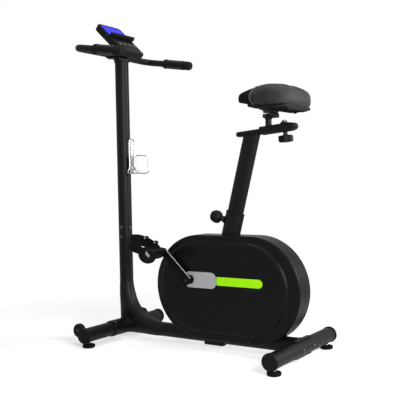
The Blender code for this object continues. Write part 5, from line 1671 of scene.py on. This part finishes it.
def makeSaddle():
    s = saddleShape
    cover = puffed(saddleBlank())
    cover.normal_update()
    tree = BVHTree.FromBMesh(cover)
    seam, channels = [], []
    for k in range(s["seamSteps"]):
        angle = fullTurn * k / s["seamSteps"]
        x = s["seamX"]
        for _ in range(4):
            hit, normal = onCover(tree, x, angle)
            x -= seamAt(x, hit.z) * 0.8
        seam.append((hit, normal))
    for side in (1, -1):
        line = []
        for k in range(s["channelSteps"] + 1):
            t = k / s["channelSteps"]
            x = s["channelFrom"] - s["channelLong"] * t
            angle = radians(56 - 26 * t**3 - 14 * t)
            hit, normal = onCover(tree, x, angle if side > 0 else pi - angle)
            line.append((hit, normal))
        channels.append(line)
    sewn = [*channels[0], *channels[1], *seam]
    marks = KDTree(len(sewn))
    for number, (hit, _) in enumerate(sewn):
        marks.insert(hit, number)
    marks.balance()
    for vert in cover.verts:
        vert.co -= vert.normal * sunk(marks.find(vert.co)[2])
    cover.normal_update()
    middles = [face.calc_center_median() for face in cover.faces]
    onNose = [seamAt(middle.x, middle.z) > 0 for middle in middles]
    seam = [(p - n * s["channelDepth"], n) for p, n in seam]
    pipe = swept([p + n * 0.0016 for p, n in seam], roundSection(s["piping"], 12), looped=True)
    threads = []
    for shift in (s["stitchOff"] + 0.0006, -s["stitchOff"] - 0.0006):
        threads += stitches(besideSeam(tree, seam, shift))
    for line in channels:
        for shift in (s["stitchOff"], -s["stitchOff"]):
            threads += stitches(besideSeam(tree, line, shift, followed=True)[:-1])
    parts = [(cover, "leatherette")]
    cushion = piece("saddleCushion", "saddle", parts, "leatherette", ["saddle_cushion"], weighted=False)
    cushion.data.materials.append(finishes["pebbledCover"])
    for polygon, isNose in zip(cushion.data.polygons, onNose):
        polygon.material_index = int(isNose)
    piece("saddlePiping", "saddle", [(pipe, "pipingCord")], "leatherette")
    piece("saddleThread", "saddle", [(threads, "seamThread")], "leatherette")


saddleBase = {
    # the pan runs between two rows of the saddle; its share of the saddle's width, behind and ahead
    "panRows": (1.9, 7.8), "panShare": (0.93, 0.84), "panHalf": 0.005, "panLow": 0.96,
    # the cross ribs leave room for the clamp
    "ribs": 9, "ribShare": 0.72, "ribHalf": 0.0012, "ribGap": (-0.386, -0.318),
    "longRibs": (0.052, 0.078), "longRibX": (-0.462, -0.398), "ribDrop": 0.0085,
    "blockX": (-0.3778, -0.3278), "blockHalf": 0.0182, "blockZ": (0.0053, 0.017),
    # the rails' corners on one side, from the nose back
    "rail": mm((
        (-298, 12, 979), (-312, 22, 968), (-330, 30, 959.5), (-390, 30, 957), (-433, 38, 955.5),
        (-460, 42, 960),
    )),
    "railRadius": 0.0032, "railBend": 0.02, "bumper": (-0.437, 0.039, 0.943),
    "bumperRows": mm(((5, 0), (8.5, 1), (9.2, 3), (8.5, 5.5), (9.2, 8), (8.5, 15))),
}


def makeSaddleBase():
    b = saddleBase
    rows = saddleShape["rows"][2:-3]
    (start, stop), (behind, ahead) = b["panRows"], b["panShare"]
    rings = []
    for k in range(25):
        t = k / 24
        x, half, low, _, _ = between(saddleShape["rows"], start + (stop - start) * t)
        wide = half * (behind + (ahead - behind) * t)
        low = min(low, b["panLow"]) if x < -0.4 else low
        rings.append(roundRect(Vector((x, 0, low + 0.002)), yAxis, zAxis, wide, b["panHalf"], 0.003, 5))
    pan = loft(rings)
    ribs, thick, (gapFrom, gapTo) = [], b["ribHalf"], b["ribGap"]
    for k in range(b["ribs"]):
        x, half, low, _, _ = between(rows, (len(rows) - 1) * (0.04 + 0.92 * k / (b["ribs"] - 1)))
        if gapFrom < x < gapTo:
            continue
        drop, reach = b["ribDrop"] if x < -0.3928 else 0.0055, half * b["ribShare"]
        ribs.append(boxed((x - thick, -reach, low - drop), (x + thick, reach, low - 0.002), 0.0008))
    low, (x0, x1), drop = saddleShape["rows"][3][2], b["longRibX"], b["ribDrop"]
    for side in (-1, 1):
        for y in b["longRibs"]:
            y *= side
            ribs.append(boxed((x0, y - thick, low - drop), (x1, y + thick, low - 0.002), 0.0008))
    (x0, x1), half, (low, top) = b["blockX"], b["blockHalf"], b["blockZ"]
    pin = tiltPin
    upper = boxed((x0, -half, pin.z + low), (x1, half, pin.z + top), 0.0014)
    neck = boxed((pin.x - 0.005, -half, pin.z), (pin.x + 0.005, half, pin.z + 0.008), 0.0006)
    lug = [(0.0058, -half), (0.006, -half + 0.0003), (0.006, half - 0.0003), (0.0058, half)]
    lug = turned(pin, yAxis, lug, 36)
    bolt = rod(pin, yAxis, 0.004, -0.0224, 0.0224, 28)
    heads = [domeBolt(pin + yAxis * side * 0.0225, yAxis * side, 0.0066, 0.004) for side in (-1, 1)]
    rails, bumpers = [], []
    for side in (-1, 1):
        line = [Vector((x, side * y, z)) for x, y, z in b["rail"]]
        rails.append(swept(filleted(line, b["railBend"], 8), roundSection(b["railRadius"], 18)))
        x, y, z = b["bumper"]
        spot = Vector((x, side * y, z))
        bumpers.append(turned(spot, zAxis, b["bumperRows"], 32))
        bumpers.append(domeBolt(spot + zAxis * 0.0004, -zAxis, 0.0046, 0.0026))
    piece("saddlePan", "saddle", [
        ([pan, *ribs, neck, lug], "coarsePlastic"), ([upper, *rails], "blackBolt"),
        (bumpers, "softRubber"), ([bolt, *heads], "blackBolt"),
    ], "rubber", ["saddle_base"], sharp=40)


makeSaddle()
makeSaddleBase()
print("saddle")


# the housing's two shells with their trim

caseShape = {
    "ends": ((-0.2738, 0.26), (-0.0328, 0.26)), "radius": 0.2125,
    "panelEnds": ((-0.2558, 0.2625), (-0.0323, 0.2625)), "panelRadius": 0.184, "wall": 0.003,
    # grow and distance from the middle plane, outside and then inside
    "rim": mm((
        (-1, 0.15), (-0.3, 0.6), (0, 1.4), (0, 40), (-0.2, 42.8), (-0.8, 44.8), (-1.8, 46.2),
        (-3.4, 47.1), (-6, 47.7), (-19, 50), (-20.5, 50.3),
    )),
    "face": mm((
        (1.6, 51.2), (0.4, 51.8), (-0.6, 53.2), (-2, 55.4), (-4.2, 57.5), (-7.5, 59.2), (-12, 60.4),
        (-17.5, 61.1), (-24, 61.5),
    )),
    "faceBack": mm(((-25.5, 58.5), (-10, 56.2), (-4.5, 50))),
    "rimBack": mm(((-21, 47.2), (-6, 44), (-3, 37), (-3, 0.15))),
    "screws": ((-0.0182, 0.0556), (-0.2619, 0.0562)), "screwBase": 0.0493,
    # the trim on its face
    "bandZ": 0.2915, "trimLow": 0.0613, "trimHigh": 0.062, "panelHalf": 0.0325, "panelCorner": 0.026,
    "panelLeft": 0.0162, "panelRight": -0.1268, "notch": 0.0185,
    "stripeHalf": 0.017, "stripeCorner": 0.0165, "stripeEnd": -0.3353, "stripeGap": 0.0016,
}


def caseRing(ends, radius, y):
    (x0, z0), (x1, z1) = ends
    ring = arcPoints(x1, z1, radius, -90, 90, 44) + arcPoints(x0, z0, radius, 90, 270, 44)
    return [Vector((p.x, y, p.z)) for p in ring]


def makeCase(label, side):
    c = caseShape
    rings = []
    for ends, radius, rows in (
        ("panelEnds", "panelRadius", c["face"][::-1]), ("ends", "radius", c["rim"][::-1]),
        ("ends", "radius", c["rimBack"][::-1]), ("panelEnds", "panelRadius", c["faceBack"][::-1]),
    ):
        rings += [caseRing(c[ends], c[radius] + grow, y) for grow, y in rows]
    shell = loft(rings)
    well = loft([ovalRing(seatAt(up), 0.0409, 0.0244, 64) for up in (-0.2, 0.02)])
    beamEnd = Vector((lowFrame["rearX"] + 0.002, 0, lowFrame["beamZ"]))
    beam = rod(beamEnd, xAxis, 0.0303, 0, 0.64, 64)
    tools, heads = [well, beam, rod(crankHub, yAxis, 0.0145, 0.02, 0.09, 56)], []
    for x, z in c["screws"]:
        spot = Vector((x, c["screwBase"], z))
        tools.append(rod(spot, yAxis, 0.005, -0.0032, 0.01, 32))
        heads.append(domeBolt(spot - yAxis * 0.0033, yAxis, 0.0044, 0.0018, "cross"))
    shell = carved(shell, tools)
    collar = turned(crankHub, yAxis, mm([
        (14.6, 60), (14.6, 62.6), (15.8, 63.2), (17.2, 62.8), (17.6, 61.2), (17.6, 60),
    ]), 64, looped=True)
    parts = [([shell, collar], "caseShell"), (heads, "blackBolt")]
    piece("case", "base", parts, "shell_plastic", ["case"], label, sharp=30, place=sidePlace[side])


def makeTrim(label, side):
    c = caseShape
    z, tall, corner = c["bandZ"], c["panelHalf"], c["panelCorner"]
    left, right = c["panelLeft"], c["panelRight"]
    # the panel's upper half from its round end to the notch round the crank, then its mirror image
    upper = [(p.x, p.z) for p in arcPoints(right + corner, tall - corner, corner, 180, 90, 12)]
    upper += [(left - 0.011, tall), (left - 0.003, tall - 0.0028), (left, tall - 0.007)]
    upper += [(left - 0.016, tall - 0.0165)]
    outline = upper + [(p.x, p.z) for p in arcPoints(crankHub.x, 0, c["notch"], 78, 282, 28)]
    outline += [(x, -up) for x, up in reversed(upper)]
    half, corner, start, end = c["stripeHalf"], c["stripeCorner"], right - c["stripeGap"], c["stripeEnd"]
    lower = [(start, -half)]
    lower += [(p.x, p.z) for p in arcPoints(end + corner, corner - half, corner, 270, 180, 10)]
    bar = [(start, half), *lower, *((x, -up) for x, up in reversed(lower[1:]))]
    for name, slot, node, edge, look in (
        ("trimPanel", "silver_trim", "panel", outline, "silverPanel"),
        ("trimStripe", "green_trim", "stripe", bar, "greenStripe"),
    ):
        shape = plate([(x, z + up) for x, up in edge], c["trimLow"], c["trimHigh"], 0.0004)
        piece(name, "base", [(shape, look)], slot, [node], label, sharp=35, place=sidePlace[side])


for label, side in bothSides:
    makeCase(label, side)
    makeTrim(label, side)
print("housing")


# cranks, pedals and straps

crankShape = {
    "length": 0.155, "angle": radians(44.5), "armY": (0.0785, 0.0915),
    "hubRadius": 0.0165, "endRadius": 0.0135,
}
pedalShape = {
    "tilt": radians(8), "out": (0.097, 0.205), "strapLean": radians(75), "strapThick": 0.0024,
    "ripple": 0.00035, "strapRows": 72, "rivetRow": 66, "studRows": (30, 50, 2), "studHalf": 0.0075,
    # the end flange: one upper corner, then the half width and depth of its belly
    "flange": mm(((-42.5, 15.5), (-40.5, 19), (-37, 20.5))), "belly": (0.043, 0.034),
    # the tilted inlay on the outer end and the ring round it: half length, half height, corner
    "inlay": (0.0166, 0.0064, 0.006), "inlayRing": (0.0178, 0.0076, 0.007), "inlayTilt": radians(35),
    "ribX": 0.0345, "grooveY": (0.113, 0.128, 0.143, 0.158, 0.173, 0.188), "grooveZ": (-0.0165, 0.0205),
    # distance out, reach to each side
    "crossRibs": ((0.101, 0.018), (0.125, 0.021), (0.154, 0.0345), (0.195, 0.0345)),
    # distance out from the middle, half the width, half the height
    "body": mm((
        (97, 19.5, 16.5), (97.6, 21.2, 17.9), (99, 22, 18.5), (125, 25, 18.5), (140, 33, 18.5),
        (152, 39.5, 18.5), (164, 40.5, 18.5), (199, 40.5, 18.5),
    )),
    # distance out from the middle, reach along the strap's lean, half the width
    "strap": mm((
        (206.5, -4, 12), (209, 24, 18), (209, 58, 22), (199, 90, 23), (176, 110, 23), (146, 115, 23),
        (118, 104, 23), (102, 74, 22), (95, 42, 18), (94.8, 12, 12),
    )),
    # the two buckle barrels: reach along the lean, back from the strap's middle, from, to
    "barrels": mm(((79, 19.5, 101, 123), (31, 20, 95, 112))),
}


def crankEnd(side):
    out, _ = tiltedAxes(crankShape["angle"] + (0 if side > 0 else pi))
    return crankHub + out * crankShape["length"]


def makeCrank(label, side):
    c = crankShape
    heading = degrees(c["angle"])
    hub, end = crankHub, crankEnd(1)
    outline = arcPoints(hub.x, hub.z, c["hubRadius"], heading + 90, heading + 270, 26)
    outline += arcPoints(end.x, end.z, c["endRadius"], heading - 90, heading + 90, 26)
    inner, outer = c["armY"]
    arm = plate(outline, inner, outer)
    eye = rod(hub, yAxis, 0.0083, 0.05, 0.1, 40)
    thread = rod(end, yAxis, 0.0071, 0.07, 0.1, 32)
    arm = eased(carved(arm, [eye, thread]), 0.0017, 3, 50)
    boss = turned(hub, yAxis, mm([
        (8.3, 66.5), (14.2, 66.5), (15, 67.3), (15, 79), (8.3, 79),
    ]), 48, looped=True)
    crown = turned(hub, yAxis, mm([
        (8.3, 90.5), (15.2, 90.5), (15.2, 91.8), (14.4, 92.8), (10.8, 92.8), (10.4, 92), (8.3, 92),
    ]), 56, looped=True)
    # a light strip painted along the arm's edge as its highlight, sunk out of sight round the hub
    highlightStrip = []
    start, stop = inner + 0.0035, outer - 0.0045
    for grow, y in ((-0.0012, start), (0.0004, start), (0.0004, stop), (-0.0012, stop)):
        ring = arcPoints(hub.x, hub.z, c["hubRadius"] + grow, heading + 92, heading + 104, 3)
        ring += arcPoints(hub.x, hub.z, c["hubRadius"] * 0.75, heading + 112, heading + 248, 18)
        ring += arcPoints(hub.x, hub.z, c["hubRadius"] + grow, heading + 256, heading + 268, 3)
        ring += arcPoints(end.x, end.z, c["endRadius"] + grow, heading - 90, heading + 90, 26)
        highlightStrip.append([Vector((q.x, y, q.z)) for q in ring])
    edge = loft(highlightStrip, looped=True)
    dustCap = mm([(10, 90.5), (10, 92.5), (9, 93.4), (5, 93.8), (1, 93.9)])
    nut = mm([(4.6, 93), (4.6, 94.4), (3.8, 95), (1, 95.1)])
    spindleEnd = mm([(6.9, 77), (6.9, 78.6), (6, 79.2), (3, 79.3)])
    parts = [
        ([arm, boss, crown], "crankPaint"), (turned(hub, yAxis, dustCap, 40), "mouldedPlastic"),
        (turned(hub, yAxis, nut, 28), "blackBolt"), (turned(end, yAxis, spindleEnd, 28), "zincBolt"),
        (edge, "paintedHighlightEdge"),
    ]
    opposite = Matrix.Translation(hub) @ Matrix.Diagonal((-1, -1, -1, 1)) @ Matrix.Translation(-hub)
    place = opposite if side < 0 else None
    piece("crank", "crank", parts, "frame_paint", ["crank"], label, sharp=40, place=place)


def pedalFrame(side):
    fore, up = tiltedAxes(pedalShape["tilt"])
    hub = crankEnd(side)
    return Matrix(((fore.x, 0, up.x, hub.x), (0, side, 0, 0), (fore.z, 0, up.z, hub.z), (0, 0, 0, 1)))


def makePedal(label, side):
    p = pedalShape
    first, last = p["out"]
    turns = [radians(-84 + 168 * i / 24) for i in range(25)]
    wide, deep = p["belly"]
    flange = [*p["flange"], *((-a, b) for a, b in reversed(p["flange"]))]
    flange += [(wide * sin(-t), -deep * cos(t)) for t in turns]
    end = plate(flange, last - 0.008, last, 0.0018)
    dish = [(0.84 * a, 0.84 * b - 0.0005) for a, b in flange]
    end = carved(end, [plate(dish, last - 0.0016, last + 0.01)])
    along, over = tiltedAxes(p["inlayTilt"])
    centre = Vector((-0.0005, 0, 0.0056))
    bezel = []
    edge = mm(((3, -1), (0.4, -1), (0.2, 0), (0.6, 1.2), (3, 1.4)))
    for back, grow in edge:
        ring = roundRect(centre, along, over, *(size + grow for size in p["inlayRing"]), 8)
        bezel.append([point + yAxis * (last - back) for point in ring])
    bezel = loft(bezel, looped=True)
    inlay = roundRect(centre, along, over, *p["inlay"], 8)
    inlay = eased(prism(inlay, yAxis, last - 0.003, last - 0.0007), 0.0004, 2, 50)
    body = []
    for y, wide, tall in p["body"]:
        body.append(squircle(Vector((0, y, 0.002)), xAxis, zAxis, wide, tall, [0.8] * 4, 64))
    body = loft(body)
    grooves = []
    for y in p["grooveY"]:
        for b in p["grooveZ"]:
            grooves.append(boxed((-0.03, y - 0.0035, b - 0.0022), (0.03, y + 0.0035, b + 0.0022), 0.001))
    body = carved(body, grooves)
    ribs = []
    for a in (-p["ribX"], p["ribX"]):
        ribs.append(boxed((a - 0.003, first + 0.055, 0.012), (a + 0.003, last - 0.006, 0.0226), 0.0012))
        for k in range(4, 8):
            y = first + 0.009 + 0.0117 * k
            ribs.append(boxed((a - 0.0036, y, 0.02), (a + 0.0036, y + 0.0045, 0.0238), 0.0009))
    for y, reach in p["crossRibs"]:
        ribs.append(boxed((-reach, y - 0.0018, 0.011), (reach, y + 0.0018, 0.0215), 0.001))
    spindle = rod(Vector(), yAxis, 0.0068, 0.0795, 0.12, 32)
    collar = turned(Vector(), yAxis, mm([
        (7, 91.8), (10.2, 91.8), (11, 92.5), (11, 95), (11.8, 95.5), (11.8, 100), (7, 100),
    ]), 40, looped=True)
    flats = loft([hexRing(Vector((0, y, 0)), xAxis, zAxis, 0.0165) for y in (0.092, 0.0948)])
    barrel = [(0.0125, first + 0.001), (0.014, first + 0.004), (0.014, last - 0.01)]
    barrel = turned(Vector(), yAxis, barrel, 40)
    reflectors = []
    for a in (-0.0398, 0.0398):
        reflectors.append(boxed((a - 0.0012, 0.162, -0.0045), (a + 0.0012, 0.192, 0.0075), 0.0008))
    parts = [
        ([end, body, *ribs, barrel, bezel], "mouldedPlastic"), ([spindle, flats], "zincBolt"),
        (collar, "blackBolt"), (inlay, "silverPanel"), (reflectors, "coarsePlastic"),
    ]
    piece("pedal", f"{label}_pedal", parts, "rubber", ["pedal"], label, sharp=40, place=pedalFrame(side))


def makeStrap(label, side):
    p = pedalShape
    lean = p["strapLean"]
    fore, up = tiltedAxes(p["tilt"])
    lead = fore * sin(lean) + up * cos(lean)
    across = fore * cos(lean) - up * sin(lean)
    root = crankEnd(side) + fore * 0.01 + up * 0.0095
    rows = p["strapRows"]
    line = [between(p["strap"], (len(p["strap"]) - 1) * k / rows) for k in range(rows + 1)]
    path = [root + yAxis * (side * y) + lead * h for y, h, _ in line]
    thick = p["strapThick"] / 2
    rings = []
    for k, here in enumerate(path):
        way = (path[min(k + 1, rows)] - path[max(k - 1, 0)]).normalized()
        outward = way.cross(across).normalized()
        ripple = p["ripple"] * cos(k * fullTurn / 3.0)
        waist = line[k][2]
        rim = [(-waist, 0.35), (-waist + 0.0015, 1), (-waist + 0.0045, 1), (-waist + 0.0055, 0.55)]
        ring = [*rim, (0.0, 0.55 + ripple / thick), *((-a, b) for a, b in reversed(rim))]
        ring += [(waist, -0.35), (waist - 0.0015, -1), (-waist + 0.0015, -1), (-waist, -0.35)]
        rings.append([here + across * a + outward * (b * thick) for a, b in ring])
    bits, rivets = [], []
    for reach, back, first, last in p["barrels"]:
        centre = root + lead * reach - across * back
        ends = mm(((5.8, 0), (7.8, 0.8), (8.6, 2.4)))
        groove = mm(((8.6, 6), (8, 6.6), (8.6, 7.2)))
        profile = [*ends, *groove, *((r, last - first - at) for r, at in reversed(ends))]
        bits.append(turned(centre + yAxis * side * first, yAxis * side, profile, 48))
        rivets.append(domeBolt(centre + yAxis * side * last, yAxis * side, 0.0034, 0.0016, "cross"))
    here = path[p["rivetRow"]]
    way = (path[p["rivetRow"] + 1] - path[p["rivetRow"] - 1]).normalized()
    outward = way.cross(across).normalized()
    if outward.dot(yAxis * side) > 0:
        outward = -outward
    bits.append(domeBolt(here + outward * thick * 0.7, outward, 0.0042, 0.0016, None))
    for k in range(*p["studRows"]):
        way = (path[k + 1] - path[k - 1]).normalized()
        outward = way.cross(across).normalized()
        for a in (-p["studHalf"], p["studHalf"]):
            stud = roundRect(path[k] + across * a, across, way, 0.003, 0.0011, 0.001, 4)
            bits.append(prism(stud, outward, -0.0014, 0.0016))
    parts = [(loft(rings), "softRubber"), (bits, "mouldedPlastic"), (rivets, "zincBolt")]
    piece("pedalStrap", f"{label}_pedal", parts, "rubber", ["pedal_strap"], label, sharp=45)


for label, side in bothSides:
    makeCrank(label, side)
    makePedal(label, side)
    makeStrap(label, side)
print("cranks and pedals")


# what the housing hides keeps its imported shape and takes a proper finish

innerLooks = {
    "bearing_left": "turnedSteel", "bearing_right": "turnedSteel", "crank_axle": "turnedSteel",
    "flywheel_axle": "turnedSteel", "flywheel": "castIron", "drive_pulley": "mouldedPlastic",
    "drive_belt": "belt", "brake_arm": "castIron", "brake_motor": "mouldedPlastic",
}
for node, look in innerLooks.items():
    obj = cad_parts[node]
    obj.data.materials.clear()
    obj.data.materials.append(finishes[look])
    obj.data.shade_smooth()
    obj.data.set_sharp_from_angle(angle=radians(35))
print("inner works", len(innerLooks))


bpy.context.view_layer.update()
